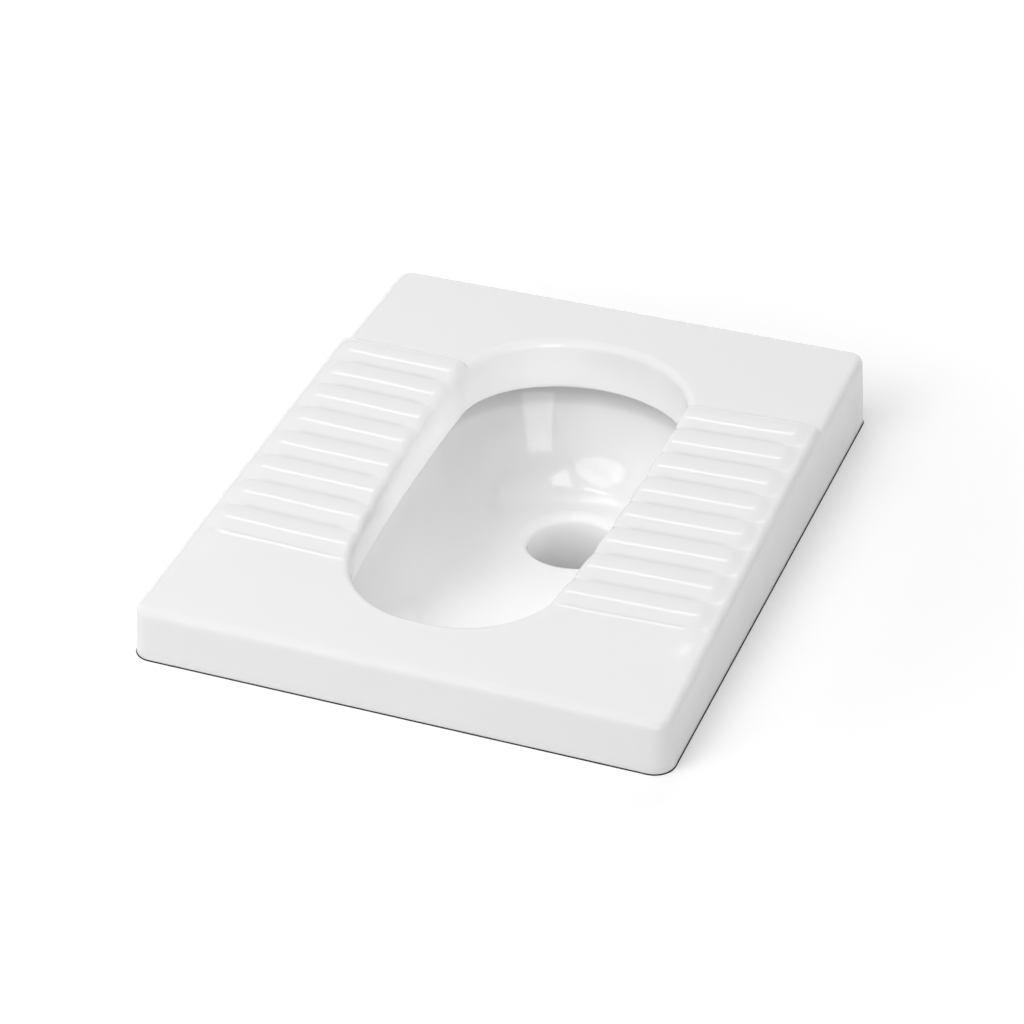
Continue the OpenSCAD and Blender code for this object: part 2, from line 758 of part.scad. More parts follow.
module clip_band(y, r) {
    color(steel)
        along_y(y - band_w / 2, horn_z)
            tube(r + seat_gap + band_t, r + seat_gap, band_w);
}

module horn_clip_band() {
    clip_band(horn_clip_y, boot_big_r);
}

module pipe_clip_band() {
    clip_band(pipe_clip_y, boot_small_r);
}

housing_wall = 1;
housing_l = 15;

// Radius of the saddle that a housing sits on, round a socket of radius r
function saddle_r(r) = r + seat_gap + band_t + seat_gap;

// Distance of a worm screw's axis from the band's axis
function worm_x(r) = saddle_r(r) + housing_wall + turn_gap + worm_r;

// Housing on the band's +X side, with the tunnel that the worm screw turns in
module clip_housing(y, r) {
    base_x = sqrt(saddle_r(r) * saddle_r(r) - housing_l * housing_l / 4) - 1;
    translate([0, y, horn_z])
        difference() {
            union() {
                translate([base_x, -band_w / 2, -housing_l / 2])
                    cube([worm_x(r) - base_x, band_w, housing_l]);
                translate([worm_x(r), 0, -housing_l / 2])
                    cylinder(r = worm_r + turn_gap + housing_wall, h = housing_l);
            }
            translate([worm_x(r), 0, -housing_l / 2 - join])
                cylinder(r = worm_r + turn_gap, h = housing_l + 2 * join);
            along_y(-band_w / 2 - join, 0)
                cylinder(r = saddle_r(r), h = band_w + 2 * join);
        }
}

// Worm screw with a slotted hexagon head
module clip_screw(y, r) {
    tip = 1.5;
    head_z = housing_l + 2;
    head_h = 5;
    head_r = worm_r + 1.2;
    slot_w = 1;
    slot_h = 1.5;
    translate([worm_x(r), y, horn_z - housing_l / 2 - tip])
        difference() {
            union() {
                cylinder(r = worm_r, h = head_z + join / 2);
                translate([0, 0, head_z])
                    cylinder(r = head_r, h = head_h, $fn = 6);
            }
            translate([-head_r - join, -slot_w / 2, head_z + head_h - slot_h])
                cube([2 * (head_r + join), slot_w, slot_h + join]);
        }
}

module clip_housings() {
    color(steel) {
        clip_housing(horn_clip_y, boot_big_r);
        clip_housing(pipe_clip_y, boot_small_r);
    }
}

module clip_screws() {
    color(steel) {
        clip_screw(horn_clip_y, boot_big_r);
        clip_screw(pipe_clip_y, boot_small_r);
    }
}

pan();
pan_outlet_seal();
trap_inlet_bend();
trap_outlet_bend();
outlet_elbow();
elbow_seal();
cleaning_cap();
cap_gasket();
flush_connector();
horn_clip_band();
pipe_clip_band();
clip_housings();
clip_screws();
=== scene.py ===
"""A glazed china squat pan with its flush connection and its floor trap.

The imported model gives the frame. Sizes in the classes are in millimetres, as on a drawing, and
meshes are in metres. X is to the right, Y to the rear and Z up from the finished floor.
"""

import logging
import math
from dataclasses import dataclass
from enum import Enum
from typing import Sequence

import bpy
import numpy as np
from mathutils import Matrix, Vector


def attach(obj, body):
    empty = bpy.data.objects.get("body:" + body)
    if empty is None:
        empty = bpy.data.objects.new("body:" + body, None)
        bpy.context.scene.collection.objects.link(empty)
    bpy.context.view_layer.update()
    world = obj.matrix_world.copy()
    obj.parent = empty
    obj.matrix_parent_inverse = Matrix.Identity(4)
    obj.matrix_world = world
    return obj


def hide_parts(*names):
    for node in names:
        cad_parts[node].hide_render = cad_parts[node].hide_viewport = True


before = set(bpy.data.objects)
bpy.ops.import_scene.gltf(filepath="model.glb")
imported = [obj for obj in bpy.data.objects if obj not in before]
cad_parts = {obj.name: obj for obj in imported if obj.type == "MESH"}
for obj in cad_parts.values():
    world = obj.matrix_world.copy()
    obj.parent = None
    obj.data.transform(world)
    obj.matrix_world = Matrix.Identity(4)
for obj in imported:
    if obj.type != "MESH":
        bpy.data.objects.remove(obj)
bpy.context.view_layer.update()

log = logging.getLogger("squat_pan")
MM = 0.001
# Points closer than this, in metres, are one point
SAME_POINT = 1e-6
# A share that is short of a whole number by less than this counts as whole
ROUNDING_SLIP = 1e-6
# How far a cutting or joining solid runs past what it meets, in millimetres
PAST = 1.0
# Corners sharper than this show as an edge
EDGE_ANGLE = math.radians(38)
QUARTER = math.pi / 2
HALF_TURN = math.pi
FULL_TURN = 2 * math.pi

Point = tuple[float, float]
Pair = tuple[float, float]
# Distance from the axis, height and, where the corner is rounded, its radius
Corner = tuple[float, ...]
Place = tuple[float, float, float]
Colour = tuple[float, float, float]
Piece = bpy.types.Object
Socket = bpy.types.NodeSocket


# ------------------------------------------------------------------ the bench


class Merge(Enum):
    """How one solid changes another."""

    JOIN = "UNION"
    REMOVE = "DIFFERENCE"
    SHARE = "INTERSECT"


def focus(*pieces: Piece) -> None:
    """Leaves edit mode and selects these pieces alone, the first as the active one.

    Args:
        pieces: The objects to select.
    """
    active = bpy.context.view_layer.objects.active
    if active and active.mode != "OBJECT":
        bpy.ops.object.mode_set(mode="OBJECT")
    bpy.ops.object.select_all(action="DESELECT")
    for piece in pieces:
        piece.select_set(True)
    if pieces:
        bpy.context.view_layer.objects.active = pieces[0]


def merge_doubles() -> None:
    """Selects the whole piece in edit mode and merges points that lie on each other."""
    bpy.ops.mesh.select_all(action="SELECT")
    bpy.ops.mesh.remove_doubles(threshold=SAME_POINT)


def close_ends() -> None:
    """Merges the doubles of the piece in edit mode and fills its open ends."""
    merge_doubles()
    bpy.ops.mesh.fill_holes(sides=0)


def tidy_shell(recalculate: bool = True) -> Piece:
    """Merges the doubles of the piece in edit mode, turns its faces outwards and leaves edit mode.

    Args:
        recalculate: Whether the faces are turned outwards.

    Returns:
        The piece.
    """
    merge_doubles()
    if recalculate:
        bpy.ops.mesh.normals_make_consistent(inside=False)
    bpy.ops.object.mode_set(mode="OBJECT")
    return bpy.context.view_layer.objects.active


def extrude(step: Vector) -> None:
    """Extrudes what is selected by a step in metres."""
    bpy.ops.mesh.extrude_region_move(TRANSFORM_OT_translate={"value": step})


def rounded(corners: Sequence[Corner], steps: int) -> list[Point]:
    """A closed profile whose corners are rounded.

    Args:
        corners: The corners in order. One without a radius stays sharp.
        steps: Steps of each rounding.

    Returns:
        The outline's points.
    """
    points: list[Point] = []
    for k, (x, y, *radius) in enumerate(corners):
        if not radius:
            points.append((x, y))
            continue
        here = Vector((x, y))
        back = (Vector(corners[k - 1][:2]) - here).normalized()
        ahead = (Vector(corners[(k + 1) % len(corners)][:2]) - here).normalized()
        half = back.angle(ahead) / 2
        reach = radius[0] / math.tan(half)
        centre = here + (back + ahead).normalized() * (radius[0] / math.sin(half))
        first = here + back * reach - centre
        turn = first.angle_signed(here + ahead * reach - centre)
        for j in range(steps + 1):
            spoke = first.copy()
            spoke.rotate(Matrix.Rotation(-turn * j / steps, 2))
            points.append(tuple(centre + spoke))
    return points


def place(piece: Piece, matrix: Matrix) -> Piece:
    """Moves a piece and puts the move into its mesh, so that the object stays at the origin.

    Args:
        piece: The object.
        matrix: Its place, in metres.

    Returns:
        The piece.
    """
    focus(piece)
    piece.matrix_world = matrix
    bpy.ops.object.transform_apply(location=True, rotation=True, scale=True)
    return piece


def at(x: float, y: float, z: float) -> Matrix:
    """Place at these millimetres, unturned."""
    return Matrix.Translation(Vector((x, y, z)) * MM)


def upright(y: float, z: float) -> Matrix:
    """Place on the middle plane at these millimetres, with Z upwards."""
    return Matrix.Translation((0, y * MM, z * MM))


def rearward(y: float, z: float) -> Matrix:
    """Place on the middle plane at these millimetres, with the piece's Z axis to the rear."""
    return upright(y, z) @ Matrix.Rotation(-QUARTER, 4, "X")


def forward(y: float, z: float) -> Matrix:
    """Place on the middle plane at these millimetres, with the piece's Z axis to the front."""
    return upright(y, z) @ Matrix.Rotation(QUARTER, 4, "X")


def outline(profile: Sequence[Point]) -> None:
    """Draws a closed profile in the plane of X and Z, as edges of a new piece in edit mode.

    Args:
        profile: Points as (distance from the axis, height) in millimetres.
    """
    focus()
    bpy.ops.mesh.primitive_plane_add(size=MM, enter_editmode=True)
    bpy.ops.mesh.select_mode(type="VERT")
    bpy.ops.mesh.select_all(action="SELECT")
    bpy.ops.mesh.merge(type="CENTER")
    bpy.ops.transform.translate(value=Vector((profile[0][0], 0, profile[0][1])) * MM)
    for (r, z), (next_r, next_z) in zip(profile, [*profile[1:], profile[0]]):
        step = Vector((next_r - r, 0, next_z - z)) * MM
        if step.length > SAME_POINT:
            extrude(step)
    merge_doubles()


def turned(corners: Sequence[Corner], rounding: int = 5, facets: int = 96,
           angle: float = FULL_TURN) -> Piece:
    """Turns a closed profile about the Z axis.

    Args:
        corners: The profile's corners.
        rounding: Steps of each rounded corner.
        facets: Facets of the turn.
        angle: How far it turns, in radians.

    Returns:
        The closed piece.
    """
    outline(rounded(corners, rounding))
    bpy.ops.mesh.spin(steps=facets, angle=angle, center=(0, 0, 0), axis=(0, 0, 1))
    if angle < FULL_TURN:
        close_ends()
    return tidy_shell()


def solid(corners: Sequence[Corner], rounding: int = 5, facets: int = 96) -> Piece:
    """Turns a solid with flat ends about the Z axis.

    Args:
        corners: The corners of its outer side, from one end to the other.
        rounding: Steps of each rounded corner.
        facets: Facets of the turn.

    Returns:
        The solid.
    """
    foot, top = (0, corners[0][1]), (0, corners[-1][1])
    return turned([foot, *corners, top], rounding, facets)


def bent_rod(radius: float, lead: float, bend_r: float, tail: float) -> Piece:
    """A rod that runs down from the origin, turns level towards +Y and runs on.

    Args:
        radius: Radius of the rod.
        lead: Length before the bend.
        bend_r: Radius of the bend, to the rod's middle.
        tail: Length after the bend.

    Returns:
        The closed rod.
    """
    focus()
    bpy.ops.mesh.primitive_circle_add(vertices=96, radius=radius * MM, enter_editmode=True)
    extrude(Vector((0, 0, -lead * MM)))
    # The spin operator turns left-handed about its axis
    centre = (0, bend_r * MM, -lead * MM)
    bpy.ops.mesh.spin(steps=20, angle=QUARTER, center=centre, axis=(-1, 0, 0))
    extrude(Vector((0, tail * MM, 0)))
    close_ends()
    return tidy_shell()


def block(size: Sequence[float], centre: Sequence[float]) -> Piece:
    """A plain block that cuts or joins another piece.

    Args:
        size: Width, depth and height in millimetres.
        centre: Its middle in millimetres.

    Returns:
        The block, with its place in its mesh.
    """
    focus()
    middle = Vector(centre) * MM
    bpy.ops.mesh.primitive_cube_add(size=1, location=middle, scale=Vector(size) * MM)
    bpy.ops.object.transform_apply(location=True, rotation=True, scale=True)
    return bpy.context.view_layer.objects.active


def round_edges(piece: Piece, radius: float, steps: int, along: Vector | None = None) -> Piece:
    """Rounds a block's edges.

    Args:
        piece: The block.
        radius: Radius in millimetres.
        steps: Segments of each rounding.
        along: Rounds only the edges in this direction, or all if it isn't given.

    Returns:
        The block.
    """
    focus(piece)
    mesh = piece.data
    for edge in mesh.edges:
        run = mesh.vertices[edge.vertices[1]].co - mesh.vertices[edge.vertices[0]].co
        edge.select = along is None or abs(run.normalized().dot(along)) > 0.9
    bpy.ops.object.mode_set(mode="EDIT")
    bpy.ops.mesh.select_mode(type="EDGE")
    bpy.ops.mesh.bevel(offset=radius * MM, offset_type="OFFSET", segments=steps, affect="EDGES")
    bpy.ops.object.mode_set(mode="OBJECT")
    return piece


def repeat_round(piece: Piece, count: int) -> Piece:
    """Repeats a piece round the Z axis, as copies in one mesh.

    Args:
        piece: The piece, away from the axis.
        count: Number of copies in a full turn.

    Returns:
        The piece with all its copies.
    """
    focus(piece)
    bpy.ops.object.mode_set(mode="EDIT")
    bpy.ops.mesh.select_all(action="SELECT")
    bpy.ops.mesh.spin(
        steps=count, angle=FULL_TURN, center=(0, 0, 0), axis=(0, 0, 1), dupli=True)
    return tidy_shell()


def thread(profile: Sequence[Point], pitch: float, turns: int, facets: int = 48) -> Piece:
    """A right-handed helical ridge about the Z axis, closed at both ends.

    Args:
        profile: Its section as (distance from the axis, height) in millimetres.
        pitch: Rise of one turn in millimetres.
        turns: Number of turns.
        facets: Facets of a turn.

    Returns:
        The ridge.
    """
    outline(profile)
    piece = tidy_shell(recalculate=False)
    helix = piece.modifiers.new("thread", "SCREW")
    helix.screw_offset = pitch * MM
    helix.iterations = turns
    helix.steps = helix.render_steps = facets
    bpy.ops.object.modifier_apply(modifier=helix.name)
    bpy.ops.object.mode_set(mode="EDIT")
    close_ends()
    return tidy_shell()


def combine(piece: Piece, others: Sequence[Piece], how: Merge) -> Piece:
    """Joins solids to a piece or cuts them out of it, and removes them.

    Args:
        piece: The solid that is changed.
        others: The solids that change it.
        how: Whether they join or cut.

    Returns:
        The changed piece.
    """
    for other in others:
        focus(piece)
        boolean = piece.modifiers.new("merge", "BOOLEAN")
        boolean.object = other
        boolean.operation = how.value
        boolean.solver = "MANIFOLD"
        bpy.ops.object.modifier_apply(modifier=boolean.name)
        bpy.data.objects.remove(other)
    return piece


def together(pieces: Sequence[Piece]) -> Piece:
    """Puts pieces into one object, each still a shell of its own.

    Args:
        pieces: The pieces.

    Returns:
        The object.
    """
    focus(*pieces)
    bpy.ops.object.join()
    return pieces[0]


# ------------------------------------------------------------------ finishes


class Board:
    """The nodes of a material, a group or the world while they are laid out."""

    def __init__(self, tree: bpy.types.NodeTree) -> None:
        """Takes the tree that the nodes go into."""
        self.tree = tree

    def feed(self, node: bpy.types.Node, inputs: dict) -> None:
        """Sets or links a node's inputs.

        Args:
            node: The node.
            inputs: For each input, by name or number, a value or the output that feeds it.
        """
        for name, value in inputs.items():
            if isinstance(value, Socket):
                self.tree.links.new(value, node.inputs[name])
            else:
                node.inputs[name].default_value = value

    def add(self, kind: str, inputs: dict | None = None, **settings: object) -> bpy.types.Node:
        """Adds a node.

        Args:
            kind: Type of the node, without the word ShaderNode.
            inputs: Its inputs, as for feed.
            settings: Settings of the node.

        Returns:
            The node.
        """
        node = self.tree.nodes.new(f"ShaderNode{kind}")
        for name, value in settings.items():
            setattr(node, name, value)
        self.feed(node, inputs or {})
        return node

    def maths(self, operation: str, *values: object) -> Socket:
        """Adds a Math node.

        Args:
            operation: The node's operation.
            values: Its inputs in order.

        Returns:
            The result.
        """
        return self.add("Math", dict(enumerate(values)), operation=operation).outputs[0]

    def blend(self, share: object, first: object, second: object) -> Socket:
        """Mixes two colours.

        Args:
            share: Share of the second colour.
            first: A colour or the output that gives it.
            second: The other colour.

        Returns:
            The mixed colour.
        """
        return self.add("Mix", {0: share, 6: first, 7: second}, data_type="RGBA").outputs[2]

    def noise(self, spot: Socket, scale: object, detail: float = 2.0) -> Socket:
        """Adds a noise texture.

        Args:
            spot: Output that gives the coordinates.
            scale: Number of patches per metre.
            detail: Octaves.

        Returns:
            The factor.
        """
        inputs = {"Vector": spot, "Scale": scale, "Detail": detail}
        return self.add("TexNoise", inputs).outputs["Fac"]


def opaque(colour: Colour) -> tuple[float, float, float, float]:
    """The colour with full alpha."""
    return (*colour, 1.0)


WHITE = opaque((1.0, 1.0, 1.0))


class EffectBoard(Board):
    """The nodes of an effect that several finishes share."""

    def __init__(self, name: str, inputs: dict[str, object], outputs: dict[str, str]) -> None:
        """Starts a node group.

        Args:
            name: Name of the group.
            inputs: For each input a number, a colour, or None for a vector.
            outputs: For each output the word Color or Float.
        """
        super().__init__(bpy.data.node_groups.new(name, "ShaderNodeTree"))
        for label, value in inputs.items():
            kind = "Vector" if value is None else "Color" if value == WHITE else "Float"
            socket = self._socket(label, "INPUT", kind)
            if value is not None:
                socket.default_value = value
        for label, kind in outputs.items():
            self._socket(label, "OUTPUT", kind)
        self.given = self.tree.nodes.new("NodeGroupInput").outputs
        self.result = self.tree.nodes.new("NodeGroupOutput")

    def _socket(self, label: str, way: str, kind: str) -> bpy.types.NodeTreeInterfaceSocket:
        """Adds a named input or output of the group."""
        return self.tree.interface.new_socket(
            name=label, in_out=way, socket_type=f"NodeSocket{kind}")


class Effects:
    """The node groups that the finishes share."""

    def __init__(self) -> None:
        """Builds each group once."""
        self.cloud = self._make_cloud()
        self.grain = self._make_grain()
        self.specks = self._make_specks()

    @staticmethod
    def _make_cloud() -> bpy.types.NodeTree:
        """Soft patches of a second colour, and a matching change of gloss.

        Returns:
            The group.
        """
        board = EffectBoard(
            "soft_patches",
            {"Spot": None, "Colour": WHITE, "Patch": WHITE, "Scale": 6.0, "Share": 0.3,
             "Roughness": 0.4, "Spread": 0.1},
            {"Colour": "Color", "Roughness": "Float"})
        given = board.given
        noise = board.noise(given["Spot"], given["Scale"], 4.0)
        share = board.maths("MULTIPLY", noise, given["Share"])
        swing = board.maths("SUBTRACT", noise, 0.5)
        board.feed(board.result, {
            "Colour": board.blend(share, given["Colour"], given["Patch"]),
            "Roughness": board.maths("MULTIPLY_ADD", swing, given["Spread"], given["Roughness"])})
        return board.tree

    @staticmethod
    def _make_grain() -> bpy.types.NodeTree:
        """Fine relief in two sizes, for a Bump node.

        Returns:
            The group.
        """
        board = EffectBoard(
            "fine_grain", {"Spot": None, "Coarse": 120.0, "Fine": 1500.0, "Share": 0.3},
            {"Height": "Float"})
        given = board.given
        coarse = board.noise(given["Spot"], given["Coarse"])
        fine = board.noise(given["Spot"], given["Fine"])
        board.feed(board.result, {
            "Height": board.maths("MULTIPLY_ADD", fine, given["Share"], coarse)})
        return board.tree

    @staticmethod
    def _make_specks() -> bpy.types.NodeTree:
        """Scattered specks of dust or iron spots.

        Returns:
            The group.
        """
        board = EffectBoard(
            "scattered_specks", {"Spot": None, "Scale": 90.0, "Size": 0.05, "Chance": 0.3},
            {"Mask": "Float"})
        given = board.given
        cells = board.add("TexVoronoi", {"Vector": given["Spot"], "Scale": given["Scale"]}).outputs
        near = board.maths("LESS_THAN", cells["Distance"], given["Size"])
        draw = board.add("SeparateColor", {"Color": cells["Color"]}).outputs[0]
        rare = board.maths("LESS_THAN", draw, given["Chance"])
        board.feed(board.result, {"Mask": board.maths("MULTIPLY", near, rare)})
        return board.tree


class Coat(Board):
    """The nodes of a new material, with its shader and the place of a point on the piece."""

    def __init__(self, name: str, effects: Effects) -> None:
        """Starts the material.

        Args:
            name: Name of the material.
            effects: The shared groups.
        """
        self.material = bpy.data.materials.new(name)
        self.material.use_nodes = True
        super().__init__(self.material.node_tree)
        self.effects = effects
        self.shader = self.tree.nodes["Principled BSDF"]
        self.spot = self.add("TexCoord").outputs["Object"]

    def effect(self, group: bpy.types.NodeTree, **inputs: object) -> bpy.types.bpy_prop_collection:
        """Places a shared effect at the point's place.

        Args:
            group: The effect.
            inputs: Its other inputs, as for feed.

        Returns:
            The outputs.
        """
        return self.add("Group", {"Spot": self.spot, **inputs}, node_tree=group).outputs

    def bump(self, height: Socket, strength: float, relief: float) -> Socket:
        """Adds a Bump node.

        Args:
            height: The height.
            strength: Share of the relief that shows.
            relief: How high it stands, in metres.

        Returns:
            The normal.
        """
        inputs = {"Height": height, "Strength": strength, "Distance": relief}
        return self.add("Bump", inputs).outputs["Normal"]


class Finish:
    """What all finishes share. Each one lays its own nodes."""

    name: str

    def make(self, effects: Effects) -> bpy.types.Material:
        """Builds the material.

        Args:
            effects: The shared groups.

        Returns:
            The material.
        """
        coat = Coat(self.name, effects)
        self.lay(coat)
        return coat.material


@dataclass(frozen=True)
class GlazedChina(Finish):
    """White gloss glaze on a white body, with bare clay where the glaze was wiped off.

    The attribute raw_clay is 1 on bare clay, and the attribute pooled is the share of painted shade,
    a grey that stands for the shadow in the creases and under the rim's lip.
    """

    name: str = "glazed_china"
    glaze: Colour = (0.858, 0.858, 0.858)
    patch: Colour = (0.834, 0.834, 0.834)
    # Grey painted into the creases and under the lip as shade
    shade_grey: Colour = (0.6, 0.6, 0.6)
    clay: Colour = (0.80, 0.775, 0.73)
    speck: Colour = (0.42, 0.36, 0.30)
    gloss: float = 0.07
    clay_roughness: float = 0.75
    ripple: float = 0.012
    tooth: float = 0.05
    relief: float = 0.01
    refraction: float = 1.52

    def lay(self, coat: Coat) -> None:
        """Lays the nodes.

        Args:
            coat: The new material.
        """
        effects, patch = coat.effects, opaque(self.patch)
        raw = coat.add("Attribute", attribute_name="raw_clay").outputs["Fac"]
        painted_shade = coat.add("Attribute", attribute_name="painted_shade").outputs["Fac"]
        white = coat.effect(effects.cloud, Colour=opaque(self.glaze), Patch=patch, Scale=9.0,
                            Share=0.6, Roughness=self.gloss, Spread=0.03)
        clay = coat.effect(effects.cloud, Colour=opaque(self.clay), Patch=patch, Scale=40.0,
                           Share=0.5, Roughness=self.clay_roughness, Spread=0.2)
        specks = coat.effect(effects.specks, Scale=160.0, Size=0.08)
        # Painted shade: the glaze turns grey where the creases and the lip's underside lie in shadow
        shaded_white = coat.blend(painted_shade, white["Colour"], opaque(self.shade_grey))
        spotted = coat.blend(specks["Mask"], clay["Colour"], opaque(self.speck))
        swing = coat.maths("SUBTRACT", clay["Roughness"], white["Roughness"])
        ripples = coat.effect(effects.grain, Coarse=45.0, Fine=160.0, Share=0.25)
        teeth = coat.effect(effects.grain, Coarse=900.0, Fine=2600.0, Share=0.6)
        rises = coat.maths("MULTIPLY", ripples["Height"], self.ripple)
        height = coat.maths("MULTIPLY_ADD", teeth["Height"],
                            coat.maths("MULTIPLY", raw, self.tooth), rises)
        coat.feed(coat.shader, {
            "Base Color": coat.blend(raw, shaded_white, spotted),
            "Roughness": coat.maths("MULTIPLY_ADD", swing, raw, white["Roughness"]),
            "Normal": coat.bump(height, 1.0, self.relief), "IOR": self.refraction})


@dataclass(frozen=True)
class Moulded(Finish):
    """Moulded rubber or plastic: a fine grain, a faint change of tone and dust on what looks up."""

    name: str
    colour: Colour
    patch: Colour
    roughness: float
    grain: float
    dust: float
    dust_colour: Colour = (0.55, 0.53, 0.50)
    relief: float = 0.0006

    def lay(self, coat: Coat) -> None:
        """Lays the nodes.

        Args:
            coat: The new material.
        """
        body = coat.effect(
            coat.effects.cloud, Colour=opaque(self.colour), Patch=opaque(self.patch), Scale=22.0,
            Share=0.7, Roughness=self.roughness, Spread=0.16)
        grain = coat.effect(coat.effects.grain, Coarse=350.0, Fine=2400.0, Share=0.5)
        normal = coat.add("NewGeometry").outputs["Normal"]
        up = coat.add("SeparateXYZ", {0: normal}).outputs["Z"]
        drift = coat.maths("MULTIPLY", coat.maths("MAXIMUM", up, 0.0),
                           coat.noise(coat.spot, 30.0, 5.0))
        dusty = coat.maths("MULTIPLY", drift, self.dust)
        coat.feed(coat.shader, {
            "Base Color": coat.blend(dusty, body["Colour"], opaque(self.dust_colour)),
            "Roughness": body["Roughness"],
            "Normal": coat.bump(grain["Height"], self.grain, self.relief)})


@dataclass(frozen=True)
class RolledSteel(Finish):
    """Stainless strip with rolling lines along it."""

    name: str = "stainless_steel"
    colour: Colour = (0.62, 0.61, 0.60)
    patch: Colour = (0.48, 0.475, 0.47)
    roughness: float = 0.28
    line_scale: Place = (60.0, 2200.0, 60.0)
    line_depth: float = 0.25
    relief: float = 0.0002

    def lay(self, coat: Coat) -> None:
        """Lays the nodes.

        Args:
            coat: The new material.
        """
        body = coat.effect(
            coat.effects.cloud, Colour=opaque(self.colour), Patch=opaque(self.patch), Scale=120.0,
            Share=0.8, Roughness=self.roughness, Spread=0.2)
        drawn = coat.add("Mapping", {"Vector": coat.spot, "Scale": self.line_scale})
        lines = coat.noise(drawn.outputs["Vector"], 1.0, 3.0)
        coat.feed(coat.shader, {
            "Base Color": body["Colour"], "Roughness": body["Roughness"],
            "Normal": coat.bump(lines, self.line_depth, self.relief), "Metallic": 1.0})


class Kit:
    """The materials by slot, and the last step of every piece."""

    def __init__(self) -> None:
        """Makes every material once."""
        effects = Effects()
        finishes = [
            GlazedChina(),
            Moulded("black_rubber", (0.022, 0.022, 0.024), (0.04, 0.04, 0.042), 0.55, 0.5, 0.10),
            Moulded("grey_plastic", (0.36, 0.38, 0.40), (0.31, 0.33, 0.35), 0.36, 0.3, 0.06),
            Moulded("dark_grey_plastic", (0.16, 0.175, 0.195), (0.13, 0.14, 0.16), 0.42, 0.4, 0.08),
            RolledSteel(),
        ]
        self.materials = {finish.name: finish.make(effects) for finish in finishes}

    def dress(self, piece: Piece, node: str, body: str, slot: str) -> None:
        """Finishes a piece: shading, material, the node that it stands for and its body.

        Args:
            piece: The object.
            node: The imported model's node.
            body: The body that carries it.
            slot: The record's material slot.
        """
        focus(piece)
        bpy.ops.object.shade_smooth_by_angle(angle=EDGE_ANGLE, keep_sharp_edges=False)
        piece.name = f"{node}_finished"
        piece.data.name = piece.name
        piece.data.materials.clear()
        piece.data.materials.append(self.materials[slot])
        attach(piece, body)
        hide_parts(node)
        piece.data.calc_loop_triangles()
        log.info("%s: %d triangles", piece.name, len(piece.data.loop_triangles))


# ------------------------------------------------------------------- the pan


def ease(share: np.ndarray) -> np.ndarray:
    """A share from 0 to 1 with a level start and end."""
    held = np.clip(share, 0, 1)
    return held * held * (3 - 2 * held)


def mix(first: object, second: object, share: object) -> np.ndarray:
    """The value at a share of the way from the first to the second."""
    return first + (second - first) * share


def curved(value: np.ndarray, power: float) -> np.ndarray:
    """A sine or cosine, reshaped from an ellipse to a fuller curve."""
    return np.sign(value) * np.abs(value) ** (2 / power)


def arc(count: int, end: float = QUARTER) -> np.ndarray:
    """Evenly spaced angles from 0 to an end, both among them."""
    return np.linspace(0, end, count)


def after(count: int, end: float = 1.0) -> np.ndarray:
    """Evenly spaced values from just past 0 up to an end."""
    return np.linspace(0, end, count + 1)[1:]


def between(count: int) -> np.ndarray:
    """Evenly spaced shares between 0 and 1, neither among them."""
    return np.linspace(0, 1, count + 2)[1:-1]


class Zone(Enum):
    """Where a row meets the opening."""

    SIDE = 0
    REAR = 1
    FRONT = 2


